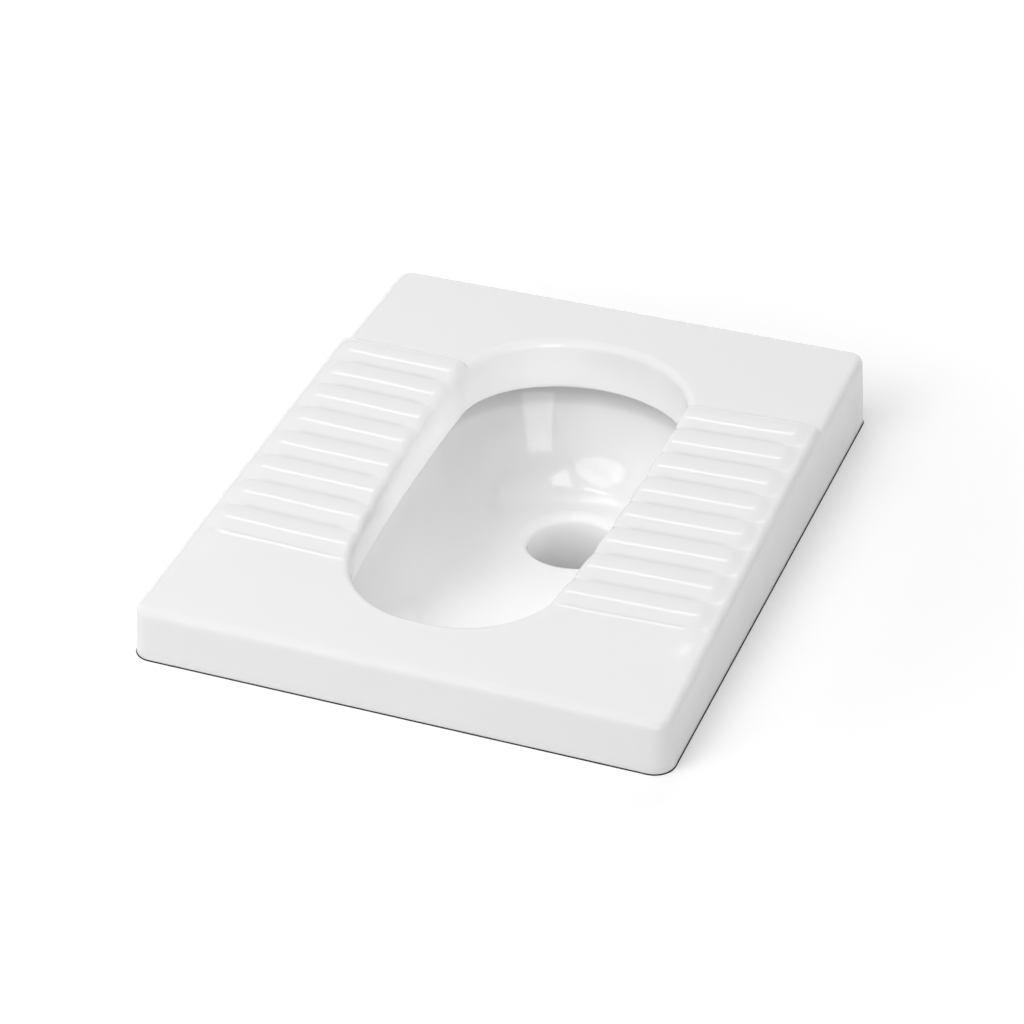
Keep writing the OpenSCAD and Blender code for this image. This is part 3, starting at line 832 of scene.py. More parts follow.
@dataclass
class PanCasting:
    """The vitreous china casting.

    Its skin is made of rows and rings. A row runs from the slab's bottom edge up and over the
    deck, down the rim wall, round the channel and the bowl to the drain, and back underneath.
    The rows stand anticlockwise from the front of the right side, and a ring joins one point
    of every row.
    """

    slab_w: float = 440.0
    slab_l: float = 555.0
    front_h: float = 43.9
    tread_rise: float = 34.0
    rear_h: float = 65.1
    rear_rise: float = 11.0
    corner_r: float = 17.0
    edge_r: float = 7.0
    side_draft: float = math.radians(4.0)
    bottom_edge: float = 1.5
    skirt_t: float = 13.0
    deck_t: float = 12.0
    rib_count: int = 8
    rib_h: float = 2.8
    tread_lift: float = 1.2
    tread_dish: float = 2.6
    tread_rear: float = 70.4
    tread_front: float = 52.3
    ramp_l: float = 46.0
    step_l: float = 9.0
    fade_in: float = 22.0
    fade_l: float = 14.0
    edge_relief: float = 0.2
    rib_end_r: float = 9.0
    crease_r: float = 1.1
    wave_h: float = 0.14
    open_w: float = 199.0
    open_taper: float = 12.0
    taper_power: float = 2.6
    front_power: float = 2.45
    rear_deck: float = 72.5
    front_deck: float = 64.5
    rear_curve: float = 82.0
    front_curve: float = 78.0
    roll_r: float = 7.0
    lip_z: float = 17.0
    rim_t: float = 8.0
    channel_w: float = 12.0
    channel_arch: float = 4.0
    bowl_t: float = 10.0
    bowl_depth: float = 95.0
    bowl_round: float = 60.0
    rear_round: float = 38.0
    floor_fall: float = 0.2
    slope_ease: float = 30.0
    front_reach: float = 3.2
    drain_back: float = 71.0
    drain_fillet: float = 8.7
    throat_r: float = 41.0
    spigot_t: float = 9.0
    spigot_l: float = 60.0

    # Painted shade in the creases and under the lip, a grey for the shadow there: its share, its
    # width and its height
    crease_shade: float = 0.5
    crease_shade_w: float = 1.9
    lip_shade_l: float = 14.0

    # Rows of a rib, the ramp, the step, and the rear and front ends, with the shares of an
    # end's half at which the slab's corner starts and stops
    rib_rows: int = 14
    ramp_rows: int = 9
    step_rows: int = 5
    rear_rows: int = 60
    front_rows: int = 56
    rear_corner: Pair = (0.2, 0.4)
    front_corner: Pair = (0.125, 0.375)

    # Rings of the stretches that the finish or another stretch counts
    deck_rings: int = 44
    crease_fade_rings: int = 7
    lip_rings: int = 11
    tip_rings: int = 9
    wall_shares: Pair = (0.35, 0.75)

    def __post_init__(self) -> None:
        """Works out the levels and lays the rows."""
        self.back_y = self.slab_l / 2
        self.front_y = -self.slab_l / 2
        self.open_rear_y = self.back_y - self.rear_deck
        self.open_front_y = self.front_y + self.front_deck
        self.rear_arc_y = self.open_rear_y - self.rear_curve
        self.front_arc_y = self.open_front_y + self.front_curve
        self.rear_crease_y = self.open_rear_y - self.tread_rear
        self.front_crease_y = self.open_front_y + self.tread_front
        self.rib_pitch = (self.rear_crease_y - self.front_crease_y) / self.rib_count
        self.ramp_y = self.front_crease_y - self.ramp_l
        self.drain_y = self.open_rear_y - self.drain_back
        self.drain_r = self.throat_r + self.drain_fillet
        self.channel_back = self.rim_t + self.channel_w
        self.bowl_top_z = self.lip_z - 2
        self.spigot_r = self.throat_r + self.spigot_t
        self.spigot_top_z = -self.bowl_depth - self.bowl_t
        self.spigot_end_z = self.spigot_top_z - self.spigot_l
        self._lay_rows()

    def _lay_rows(self) -> None:
        """Sets out the rows, closest where a crease between two ribs needs them."""
        share = np.arange(self.rib_rows) / self.rib_rows
        share = (share + (1 - np.cos(math.pi * share)) / 2) / 2
        ribs = self.front_crease_y + self.rib_pitch * (
            np.arange(self.rib_count)[:, None] + share)
        ramp = np.linspace(self.ramp_y, self.front_crease_y, self.ramp_rows, endpoint=False)
        step = self.rear_crease_y + np.linspace(0, self.step_l / 2, self.step_rows)
        self.side_y = np.concatenate([ramp, ribs.ravel(), step])
        right_zone, right = self._side_rows(self.side_y, 1)
        left_zone, left = self._side_rows(self.side_y[::-1], -1)
        self.rear_t = np.arange(1, self.rear_rows) / self.rear_rows
        self.front_t = np.arange(1, self.front_rows) / self.front_rows
        rear = mix(right[-1], math.pi - right[-1], self.rear_t)
        front = mix(left[-1], math.pi - left[-1], self.front_t)
        self.zone = np.concatenate([
            right_zone, np.full(rear.size, Zone.REAR.value), left_zone,
            np.full(front.size, Zone.FRONT.value)])
        self.value = np.concatenate([right, rear, left, front])
        self.side = np.repeat([1.0, 0.0, -1.0, 0.0],
                              [right.size, rear.size, left.size, front.size])

    def _side_rows(self, y: np.ndarray, side: int) -> tuple[np.ndarray, np.ndarray]:
        """Zone and value of the rows that cross a side deck.

        Args:
            y: Where each row crosses the rolled edge.
            side: 1 on the right and -1 on the left.

        Returns:
            The zones and the values: an angle on a curve, or Y on a straight side.
        """
        rear = np.clip((y - self.rear_arc_y) / (self.rear_curve + self.roll_r), 0, 1)
        front = np.clip((self.front_arc_y - y) / (self.front_curve + self.roll_r), 0, 1)
        rear_a = np.arcsin(rear)
        front_a = np.arcsin(front ** (self.front_power / 2))
        if side < 0:
            rear_a = math.pi - rear_a
        else:
            front_a = math.pi - front_a
        zone = np.select([rear > 0, front > 0], [Zone.REAR.value, Zone.FRONT.value],
                         Zone.SIDE.value)
        return zone, np.select([rear > 0, front > 0], [rear_a, front_a], y)

    # ---- shape of the deck

    def deck_plane(self, y: np.ndarray) -> np.ndarray:
        """Height of the deck without its ribs."""
        tread = self.front_h + self.tread_rise * (y - self.front_y) / self.slab_l
        rear = self.rear_h - self.rear_rise * (self.back_y - y) / self.slab_l
        return mix(tread, rear, self.behind_step(y))

    def behind_step(self, y: np.ndarray) -> np.ndarray:
        """Share of the way down the step: 0 on the treads and 1 on the rear deck."""
        return ease((y - self.rear_crease_y + self.step_l / 2) / self.step_l)

    def across_rib(self, y: np.ndarray) -> np.ndarray:
        """Share of the way across the rib that a point is on, from its front crease."""
        turn = (y - self.front_crease_y) / self.rib_pitch
        return turn - np.floor(turn + ROUNDING_SLIP)

    def from_crease(self, y: np.ndarray) -> np.ndarray:
        """Distance to the nearest crease."""
        share = self.across_rib(y)
        return np.minimum(share, 1 - share) * self.rib_pitch

    def on_ribs(self, y: np.ndarray) -> np.ndarray:
        """Whether a point is between the first and the last crease."""
        return (y > self.front_crease_y) & (y < self.rear_crease_y)

    def rib_share(self, x: np.ndarray, y: np.ndarray) -> np.ndarray:
        """Share of a rib's height at a point, which falls at the rib's rounded outer end."""
        out = np.where(self.on_ribs(y), np.abs(2 * self.across_rib(y) - 1), 0)
        end = self.slab_w / 2 - self.fade_in + self.fade_l - self.rib_end_r * (
            1 - np.sqrt(np.clip(1 - out * out, 0, 1)))
        return mix(self.edge_relief, 1, ease((end - np.abs(x)) / self.fade_l))

    def rib_back(self, y: np.ndarray) -> np.ndarray:
        """Height of a rib's rounded back, with a small radius in the creases."""
        near = self.from_crease(y)
        soft = np.sqrt(near * near + self.crease_r ** 2) - self.crease_r
        return 4 * self.rib_h * soft / self.rib_pitch * (1 - soft / self.rib_pitch)

    def waviness(self, x: np.ndarray, y: np.ndarray) -> np.ndarray:
        """How far the fired clay sinks at a point, in two slow waves that never rise."""
        return self.wave_h * (np.sin(x / 31 + 0.7) * np.sin(y / 43 - 0.4) - 1
                              + 0.6 * (np.sin(x / 17 - y / 23 + 1.9) - 1))

    def deck_z(self, x: np.ndarray, y: np.ndarray) -> np.ndarray:
        """Height of the deck at a point.

        Args:
            x: Distance from the middle plane.
            y: Place along the slab.

        Returns:
            The height above the floor.
        """
        field = np.where(y < self.front_crease_y, ease((y - self.ramp_y) / self.ramp_l),
                         1 - self.behind_step(y))
        inner = self.slab_w / 2 - self.fade_in
        dish = self.tread_dish * field * np.clip(
            (inner - np.abs(x)) / (inner - self.open_w / 2), 0, 1)
        rib = np.where(self.on_ribs(y), self.rib_back(y), 0)
        return (self.deck_plane(y) - dish + self.waviness(x, y)
                + self.rib_share(x, y) * (self.tread_lift * field + rib))

    # ---- outlines

    def half_open(self, y: np.ndarray) -> np.ndarray:
        """Half the opening's width, which narrows towards the front."""
        share = (self.rear_arc_y - y) / (self.rear_arc_y - self.front_arc_y)
        held = np.where(self.zone == Zone.FRONT.value, np.maximum(share, 0),
                        np.clip(share, 0, 1))
        return self.open_w / 2 - self.open_taper * held ** self.taper_power

    def opening(self, across: object, along: object | None = None) -> np.ndarray:
        """Points of the opening's outline, one for each row.

        Args:
            across: How far they stand out sideways.
            along: How far they stand out lengthways, or the same if it isn't given.

        Returns:
            The points as an array of X and Y.
        """
        along = across if along is None else along
        a = self.value
        rear = np.stack([(self.open_w / 2 + across) * np.cos(a),
                         self.rear_arc_y + (self.rear_curve + along) * np.sin(a)], 1)
        y = self.front_arc_y - (self.front_curve + along) * curved(
            np.sin(a), self.front_power)
        x = -(self.half_open(y) + across) * curved(np.cos(a), self.front_power)
        front = np.stack([x, y], 1)
        sides = np.stack([self.side * (self.half_open(a) + across), a], 1)
        zone = self.zone[:, None]
        return np.select([zone == Zone.REAR.value, zone == Zone.FRONT.value], [rear, front], sides)

    def _end(self, t: np.ndarray, y0: float, inset: np.ndarray, corner: Pair) -> np.ndarray:
        """Points round one end of the slab.

        Args:
            t: Share of the way round the end for each row.
            y0: Where the end's rows start on the side.
            inset: How far the points stand in.
            corner: Shares of the way at which the rounded corner starts and stops.

        Returns:
            The points as an array of X and Y.
        """
        start, stop = corner
        half_w, half_l = self.slab_w / 2, self.slab_l / 2
        u = np.minimum(t, 1 - t)
        turn = np.clip((u - start) / (stop - start), 0, 1) * math.pi / 2
        on_side, on_corner = u < start, u < stop
        x = np.select(
            [on_side, on_corner],
            [half_w - inset, half_w - self.corner_r + (self.corner_r - inset) * np.cos(turn)],
            (half_w - self.corner_r) * (0.5 - u) / (0.5 - stop))
        y = np.select(
            [on_side, on_corner],
            [mix(y0, half_l - self.corner_r, u / start),
             half_l - self.corner_r + (self.corner_r - inset) * np.sin(turn)],
            half_l - inset)
        return np.stack([np.where(t > 0.5, -x, x), y], 1)

    def slab(self, inset: object) -> np.ndarray:
        """Points of the slab's outline, one for each row.

        Args:
            inset: How far they stand in, for all rows or for each.

        Returns:
            The points as an array of X and Y.
        """
        inset = np.broadcast_to(np.asarray(inset, float), self.zone.shape)
        n, m = self.side_y.size, self.rear_t.size
        right, rear, left, front = np.split(inset, [n, n + m, 2 * n + m])
        half = self.slab_w / 2
        return np.concatenate([
            np.stack([half - right, self.side_y], 1),
            self._end(self.rear_t, self.side_y[-1], rear, self.rear_corner),
            np.stack([left - half, self.side_y[::-1]], 1),
            -self._end(self.front_t, -self.side_y[0], front, self.front_corner)])

    # ---- rings

    @staticmethod
    def ring(points: np.ndarray, z: object) -> np.ndarray:
        """Points with their heights, as an array of X, Y and Z."""
        return np.column_stack([points, np.broadcast_to(z, len(points))])

    def _slab_ring(self, inset: object, z: object) -> np.ndarray:
        """Ring that stands in from the slab's outline, at a height."""
        return self.ring(self.slab(inset), z)

    def _open_ring(self, out: float, z: object) -> np.ndarray:
        """Ring that stands out from the opening's outline, at a height."""
        return self.ring(self.opening(out), z)

    def _edge_inset(self) -> np.ndarray:
        """How far the top of the side face stands in from the footprint."""
        p = self.slab(self.edge_r + 3)
        return (self.deck_z(*p.T) - self.edge_r) * math.tan(self.side_draft)

    def _outside_rings(self) -> list[np.ndarray]:
        """Rings from the bottom edge up the side face and round the top edge."""
        low, r, inset = self.bottom_edge, self.edge_r, self._edge_inset()
        top = self.deck_z(*self.slab(inset + r).T)
        foot = [self._slab_ring(low * (1 - math.sin(a)), low * (1 - math.cos(a))) for a in arc(4)]
        face = [self._slab_ring(inset * t, mix(low, top - r, t)) for t in between(5)]
        edge = [self._slab_ring(inset + r * (1 - math.cos(a)), top - r * (1 - math.sin(a)))
                for a in arc(10)]
        return foot + face + edge

    def _deck_rings(self) -> list[np.ndarray]:
        """Rings from the top edge over the deck, round the roll and down the rim wall."""
        r = self.roll_r
        p, q = self.slab(self._edge_inset() + self.edge_r), self.opening(r)
        over = [mix(p, q, t) for t in after(self.deck_rings)]
        deck = [self.ring(points, self.deck_z(*points.T)) for points in over]
        top = self.deck_z(*q.T)
        roll = [self._open_ring(r * (1 - math.sin(a)), top - r * (1 - math.cos(a)))
                for a in after(9, QUARTER)]
        lip = self.lip_z + self.rim_t / 2
        wall = [self._open_ring(0.0, mix(top - r, lip, t)) for t in between(5)]
        return deck + roll + wall

    def under_deck(self) -> np.ndarray:
        """Height of the deck's underside for each row."""
        y = self.opening(self.channel_back)[:, 1]
        return self.deck_plane(y) - self.tread_dish - self.deck_t

    def _channel_rings(self) -> list[np.ndarray]:
        """Rings round the rim's lip and through the flush channel."""
        r, roof, arch = self.rim_t / 2, self.under_deck(), self.channel_arch
        lip = [self._open_ring(r - r * math.cos(a), self.lip_z + r - r * math.sin(a))
               for a in arc(self.lip_rings, HALF_TURN)]
        rise = [self._open_ring(self.rim_t, mix(self.lip_z + r, roof, t))
                for t in self.wall_shares]
        over = [self._open_ring(self.rim_t + self.channel_w / 2 * (1 - math.cos(a)),
                                roof - arch * (1 - math.sin(a))) for a in arc(9, HALF_TURN)]
        fall = [self._open_ring(self.channel_back, mix(roof - arch, self.bowl_top_z, t))
                for t in self.wall_shares]
        return lip + rise + over + fall

    def floor_z(self, y: np.ndarray) -> np.ndarray:
        """Height of the bowl's floor, which falls towards the drain and is level round it."""
        u = self.drain_y - self.drain_r - y
        eased = (np.sqrt(u * u + self.slope_ease ** 2) + u) / 2
        return -self.bowl_depth + self.floor_fall * eased

    def _bowl(self, a: float, t: float) -> np.ndarray:
        """Ring of the bowl's wall at an angle of its curve, set out by a thickness."""
        run = np.where(self.zone == Zone.REAR.value, self.rear_round, self.bowl_round)
        drop = 1 - math.cos(a)
        out = t * math.cos(a)
        p = self.opening(self.channel_back - self.bowl_round * drop + out,
                         self.channel_back - run * drop + out)
        foot = self.opening(self.channel_back - self.bowl_round, self.channel_back - run)
        z = mix(self.bowl_top_z, self.floor_z(foot[:, 1]), math.sin(a)) - t * math.sin(a)
        return self.ring(p, z)

    def _drain(self, r: float, z: object) -> np.ndarray:
        """Ring round the drain's axis, at the angle that each row runs down to."""
        foot = self.opening(self.channel_back - self.bowl_round)
        a = np.where(self.zone == Zone.REAR.value, self.value,
                     np.arctan2(foot[:, 1] - self.rear_arc_y,
                                foot[:, 0] * self.front_reach))
        return self.ring(
            np.stack([r * np.cos(a), self.drain_y + r * np.sin(a)], 1), z)

    def _floor(self, t: float, depth: float, r: float) -> np.ndarray:
        """Ring of the bowl's floor at a share of the way to the drain, at a depth under it."""
        p = self._bowl(QUARTER, 0.0)[:, :2]
        point = mix(p, self._drain(r, 0.0)[:, :2], t)
        return self.ring(point, self.floor_z(point[:, 1]) - depth)

    def _bowl_rings(self) -> list[np.ndarray]:
        """Rings down the bowl, over its floor, round the drain's fillet and down the throat."""
        wall = [self._bowl(a, 0.0) for a in arc(27)]
        floor = [self._floor(t, 0.0, self.drain_r) for t in after(20)]
        edge, r = self.floor_z(self._drain(self.drain_r, 0.0)[:, 1]), self.drain_fillet
        fillet = [self._drain(self.drain_r - r * math.sin(a), edge - r * (1 - math.cos(a)))
                  for a in after(8, QUARTER)]
        tip_r = self.spigot_t / 2
        low = self.spigot_end_z + tip_r
        throat = [self._drain(self.throat_r, mix(edge - r, low, t)) for t in between(5)]
        tip = [self._drain(self.throat_r + tip_r * (1 - math.cos(a)), low - tip_r * math.sin(a))
               for a in arc(self.tip_rings, HALF_TURN)]
        return wall + floor + fillet + throat + tip

    def _under_rings(self) -> list[np.ndarray]:
        """Rings up the spigot's outside and back under the bowl, the deck and the skirt."""
        spigot = [self._drain(self.spigot_r, z) for z in
                  np.linspace(self.spigot_end_z + 10, self.spigot_top_z - 4, 6)]
        floor = [self._floor(t, self.bowl_t, self.spigot_r + 1) for t in np.linspace(1, 0, 9)[:-1]]
        bowl = [self._bowl(a, self.bowl_t) for a in np.linspace(QUARTER, 0, 15)]
        roof = self.under_deck()
        out = self.opening(self.channel_back + self.bowl_t)
        wall = [self.ring(out, mix(self.bowl_top_z, roof, t)) for t in (0.4, 0.8)]
        skirt = self.slab(self.skirt_t + self._edge_inset())
        deck = [self.ring(mix(out, skirt, t), roof) for t in (0.04, 0.3, 0.65, 0.96)]
        foot = self.slab(self.skirt_t)
        inside = [self.ring(mix(skirt, foot, t), mix(roof, 0.0, t)) for t in (0.1, 0.5, 0.93)]
        base = [self._slab_ring(d, 0.0) for d in (self.skirt_t - 2, self.skirt_t / 2)]
        return spigot + floor + bowl + wall + deck + inside + base

    # ---- the piece

    def _painted_shade_share(self, rings: np.ndarray, deck: int, lip: int, seen: int) -> np.ndarray:
        """Share of painted shade at each point: a grey for the shadow in the creases and under the
        lip.

        Args:
            rings: The points of all rings.
            deck: Number of the first ring of the deck.
            lip: Number of the first ring of the lip.
            seen: How many rings are glazed.

        Returns:
            The shares.
        """
        x, y, z = np.moveaxis(rings, 2, 0)
        share = ease((self.slab_w / 2 - self.fade_in - np.abs(x)) / self.fade_l)
        inward = np.arange(len(rings)) - deck - self.deck_rings
        share = share * (1 - ease(inward / self.crease_fade_rings + 1))[:, None]
        # Painted shade: darker in the creases between the ribs and on the bowl wall under the lip
        crease = self.crease_shade * np.exp(-(self.from_crease(y) / self.crease_shade_w) ** 2)
        painted_shade = np.where((z > self.front_h) & self.on_ribs(y), crease * share, 0)
        under_lip = slice(lip + self.lip_rings, seen)
        painted_shade[under_lip] = ease(z[under_lip] / self.lip_shade_l + 1)
        return painted_shade

    def _skin(self) -> Piece:
        """Lays a grid over the rings and closes it both ways.

        Returns:
            The closed skin, with the attributes raw_clay and pooled, the share of painted shade.
        """
        outside = self._outside_rings()
        above = outside + self._deck_rings()
        seen = above + self._channel_rings() + self._bowl_rings()
        rings = np.stack(seen + self._under_rings())
        raw = np.zeros(rings.shape[:2])
        raw[0] = 1
        raw[len(seen) - self.tip_rings + 2:] = 1
        painted_shade = self._painted_shade_share(rings, len(outside), len(above), len(seen))
        ring_count, row_count = rings.shape[:2]
        focus()
        bpy.ops.mesh.primitive_grid_add(x_subdivisions=row_count, y_subdivisions=ring_count, size=1)
        piece = bpy.context.view_layer.objects.active
        around = np.arange(row_count + 1) % row_count
        along = np.arange(ring_count + 1) % ring_count
        points = rings[along][:, around] * MM
        piece.data.vertices.foreach_set("co", points.astype(np.float32).ravel())
        for name, values in (("raw_clay", raw), ("painted_shade", painted_shade)):
            mask = piece.data.attributes.new(name, "FLOAT", "POINT")
            mask.data.foreach_set("value", values[along][:, around].astype(np.float32).ravel())
        bpy.ops.object.mode_set(mode="EDIT")
        return tidy_shell(recalculate=False)

    def casting(self, horn: "FlushHorn") -> Piece:
        """Makes the casting with its water chamber and its flush horn.

        Args:
            horn: Sizes of the horn and the chamber.

        Returns:
            The piece.
        """
        piece = combine(self._skin(), horn.solids(self), Merge.JOIN)
        return combine(piece, horn.waterways(self), Merge.REMOVE)


@dataclass
class FlushHorn:
    """The water chamber behind the bowl and the horn that feeds it."""

    bore_r: float = 20.0
    wall: float = 7.0
    drop: float = 37.0
    out: float = 18.0
    chamber_r: float = 16.0
    chamber_half: float = 18.0
    chamber_wall: float = 7.5
    duct_half: float = 20.0
    duct_h: float = 18.0
    duct_lift: float = 7.0
    mouth_r: float = 2.5

    def _middle(self, pan: PanCasting) -> Pair:
        """Where the chamber's middle lies, and the horn's length from there."""
        back = pan.open_rear_y + pan.channel_back + pan.bowl_t
        y = back + self.chamber_r - self.chamber_wall + 0.5
        return y, pan.back_y + self.out - y

    def _column(self, r: float, y: float, low: float, high: float) -> Piece:
        """An upright column with two round ends.

        Args:
            r: Radius of its ends.
            y: Its place.
            low: Height of its foot.
            high: Height of its top.

        Returns:
            The column.
        """
        size = (2 * (self.chamber_half + r), 2 * r, high - low)
        column = block(size, (0, y, (low + high) / 2))
        return round_edges(column, r * 0.995, 14, Vector((0, 0, 1)))

    def solids(self, pan: PanCasting) -> list[Piece]:
        """What stands on the pan's rear.

        Args:
            pan: The casting that carries it.

        Returns:
            The chamber and the horn.
        """
        y, length = self._middle(pan)
        outer = self.bore_r + self.wall
        top = pan.rear_h - pan.rear_rise * (pan.back_y - y) / pan.slab_l - pan.deck_t / 2
        chamber = self._column(self.chamber_r, y, -self.drop - outer - 2, top)
        horn = solid([(outer + 3, 0), (outer, 8, 6), (outer, length, self.mouth_r)])
        return [chamber, place(horn, rearward(y, -self.drop))]

    def waterways(self, pan: PanCasting) -> list[Piece]:
        """What the water runs through.

        Args:
            pan: The casting that it is cut from.

        Returns:
            The chamber's hollow, the duct and the horn's bore.
        """
        y, length = self._middle(pan)
        low = -self.drop - self.bore_r - self.wall - 2 + self.chamber_wall
        duct_z = pan.lip_z + self.duct_lift
        hollow = self._column(self.chamber_r - self.chamber_wall, y, low, duct_z + self.duct_h)
        start = pan.open_rear_y + pan.rim_t + pan.channel_w / 2
        duct = block((2 * self.duct_half, y - start, self.duct_h),
                     (0, (start + y) / 2, duct_z + self.duct_h / 2))
        bore = solid([(self.bore_r, 0), (self.bore_r, length - 2, 3),
                      (self.bore_r + 3, length + PAST)])
        return [hollow, duct, place(bore, rearward(y, -self.drop))]


# ------------------------------------------------------------------- the trap


@dataclass
class SoilTrap:
    """The floor trap: two welded bends, the elbow that swivels in them, their seals and the cap."""

    drain_y: float = 134.0
    pipe_r: float = 55.0
    pipe_t: float = 3.2
    bend_r: float = 62.0
    cup_floor_z: float = -170.0
    cup_bore_r: float = 58.0
    cup_t: float = 3.0
    cup_l: float = 52.0
    cup_root: float = -9.0
    leg_l: float = 70.0
    weld_l: float = 26.0
    weld_gap: float = 0.15
    weld_t: float = 4.0
    weld_root: float = 6.0
    riser_l: float = 5.0
    riser_bore_r: float = 55.5
    riser_t: float = 4.0
    riser_cup_l: float = 38.0
    groove_r: float = 59.0
    groove_low: float = 22.0
    groove_h: float = 9.0
    elbow_gap: float = 2.0
    outlet_l: float = 60.0
    tip_l: float = 6.0
    bead_r: float = 57.5
    eye_lift: float = 8.0
    neck_r: float = 38.0
    neck_bore_r: float = 33.0
    neck_l: float = 17.0
    neck_root: float = -34.0
    thread_h: float = 1.5
    thread_pitch: float = 4.0
    thread_turns: int = 3
    gasket_t: float = 2.4
    gasket_bead: float = 0.35
    cap_bore_r: float = 38.4
    cap_t: float = 4.0
    cap_skirt: float = 14.0
    cap_dish: float = 0.8
    grip_count: int = 24
    grip_r: float = 1.6
    hexagon_r: float = 16.0
    hexagon_h: float = 8.0
    hexagon_dish: float = 2.5
    seal_gap: float = 0.3
    fin_count: int = 3
    fin_r: float = 50.3
    fin_pitch: float = 12.0
    sleeve_l: float = 38.0
    sleeve_t: float = 3.0
    flange_w: float = 3.3
    lip_r: float = 55.3
    seam_w: float = 0.9
    seam_h: float = 0.4

    def __post_init__(self) -> None:
        """Works out where the bends lie."""
        self.bore_r = self.pipe_r - self.pipe_t
        self.bend_z = self.cup_floor_z - self.leg_l
        self.base_z = self.bend_z - self.bend_r
        self.inlet_bend_y = self.drain_y + self.bend_r
        self.outlet_bend_y = self.inlet_bend_y + self.weld_l
        self.riser_y = self.outlet_bend_y + self.bend_r
        self.riser_floor_z = self.bend_z + self.riser_l
        self.elbow_foot_z = self.riser_floor_z + self.elbow_gap
        self.elbow_start_z = self.riser_floor_z + self.riser_cup_l + self.elbow_gap
        self.outlet_z = self.elbow_start_z + self.bend_r
        self.outlet_y = self.riser_y + self.bend_r
        self.at_drain = upright(self.drain_y, self.cup_floor_z)
        self.at_riser = upright(self.riser_y, self.riser_floor_z)
        self.at_eye = forward(self.drain_y - self.pipe_r - self.neck_l, self.bend_z + self.eye_lift)

    def _bend(self, lead: float, tail: float, extra: float = 0.0) -> Piece:
        """A rod of the pipe's outer size, with the trap's bend.

        Args:
            lead: Length before the bend.
            tail: Length after the bend.
            extra: How much larger its radius is.

        Returns:
            The rod.
        """
        return bent_rod(self.pipe_r + extra, lead, self.bend_r, tail)

    def _seam(self, lead: float, tail: float) -> Piece:
        """The mould's parting line round a bend, as a ridge in the middle plane.

        Args:
            lead: Length before the bend.
            tail: Length after the bend.

        Returns:
            The ridge, which still fills the bend's inside.
        """
        seam = self._bend(lead, tail, self.seam_h)
        reach = 4 * (self.bend_r + self.pipe_r)
        return combine(seam, [block((self.seam_w, reach, reach), (0, 0, 0))], Merge.SHARE)

    def _weld_socket(self) -> Piece:
        """The socket that the second bend is welded into, with its bead.

        Returns:
            The solid socket.
        """
        start, end = self.weld_root - 1, self.weld_root + self.weld_l
        bead_r = self.pipe_r + self.weld_gap + self.weld_t - 0.05
        body_r = bead_r - 1.4
        return solid([
            (self.pipe_r + 0.5, 0), (body_r, start, 3), (body_r, end - 6, 1), (bead_r, end - 5, 1),
            (bead_r, end - 1.5, 1.3), (self.pipe_r + 0.4, end, 1)])

    def _neck(self) -> list[Piece]:
        """The cleaning eye's neck and its thread.

        Returns:
            The solid neck and the ridge of the thread, in place.
        """
        core = self.neck_r - self.thread_h
        neck = solid([
            (self.neck_r + 6, self.neck_root), (self.neck_r, -21, 7), (self.neck_r, -15.5),
            (core, -14.5), (core, -1.2), (self.neck_r - 2.6, 0)])
        inner, half = core - 0.4, self.thread_pitch / 4
        ridge = thread([(inner, -half - 0.1), (self.neck_r, -half / 2), (self.neck_r, half / 2),
                        (inner, half + 0.1)], self.thread_pitch, self.thread_turns)
        start = self.at_eye @ upright(0, half - self.cap_skirt)
        return [place(neck, self.at_eye), place(ridge, start)]

    def inlet_bend(self) -> Piece:
        """The socket for the pan, the water leg, the first bend, the eye's neck and the weld socket.

        Returns:
            The piece.
        """
        top = self.cup_floor_z
        outside = place(self._bend(self.leg_l - PAST, PAST), upright(self.drain_y, top - PAST))
        ridge = place(self._seam(self.leg_l - 2 * PAST, PAST),
                      upright(self.drain_y, top - 2 * PAST))
        cup_r = self.cup_bore_r + self.cup_t
        cup = solid([
            (self.pipe_r, self.cup_root), (cup_r, -2, 4), (cup_r, self.cup_l - 8, 1.5),
            (cup_r + 2, self.cup_l - 6.5, 1.5), (cup_r + 2, self.cup_l, 2)])
        weld = place(self._weld_socket(),
                     rearward(self.inlet_bend_y - self.weld_root, self.base_z))
        combine(outside, [ridge, place(cup, self.at_drain), weld, *self._neck()], Merge.JOIN)
        bore = bent_rod(self.bore_r, self.leg_l + PAST, self.bend_r, PAST)
        cup_bore = solid([(self.cup_bore_r, 0, 2), (self.cup_bore_r, self.cup_l - 2, 1),
                          (self.cup_bore_r + 1.6, self.cup_l + PAST)])
        weld_bore_r = self.pipe_r + self.weld_gap
        weld_bore = solid([(weld_bore_r, 0), (weld_bore_r, self.weld_l + 8)])
        neck_bore = solid([(self.neck_bore_r, self.neck_root - 5), (self.neck_bore_r, -1, 0.5),
                           (self.neck_bore_r + 1, PAST)])
        return combine(outside, [
            place(bore, upright(self.drain_y, top + PAST)), place(cup_bore, self.at_drain),
            place(weld_bore, rearward(self.inlet_bend_y, self.base_z)),
            place(neck_bore, self.at_eye)], Merge.REMOVE)

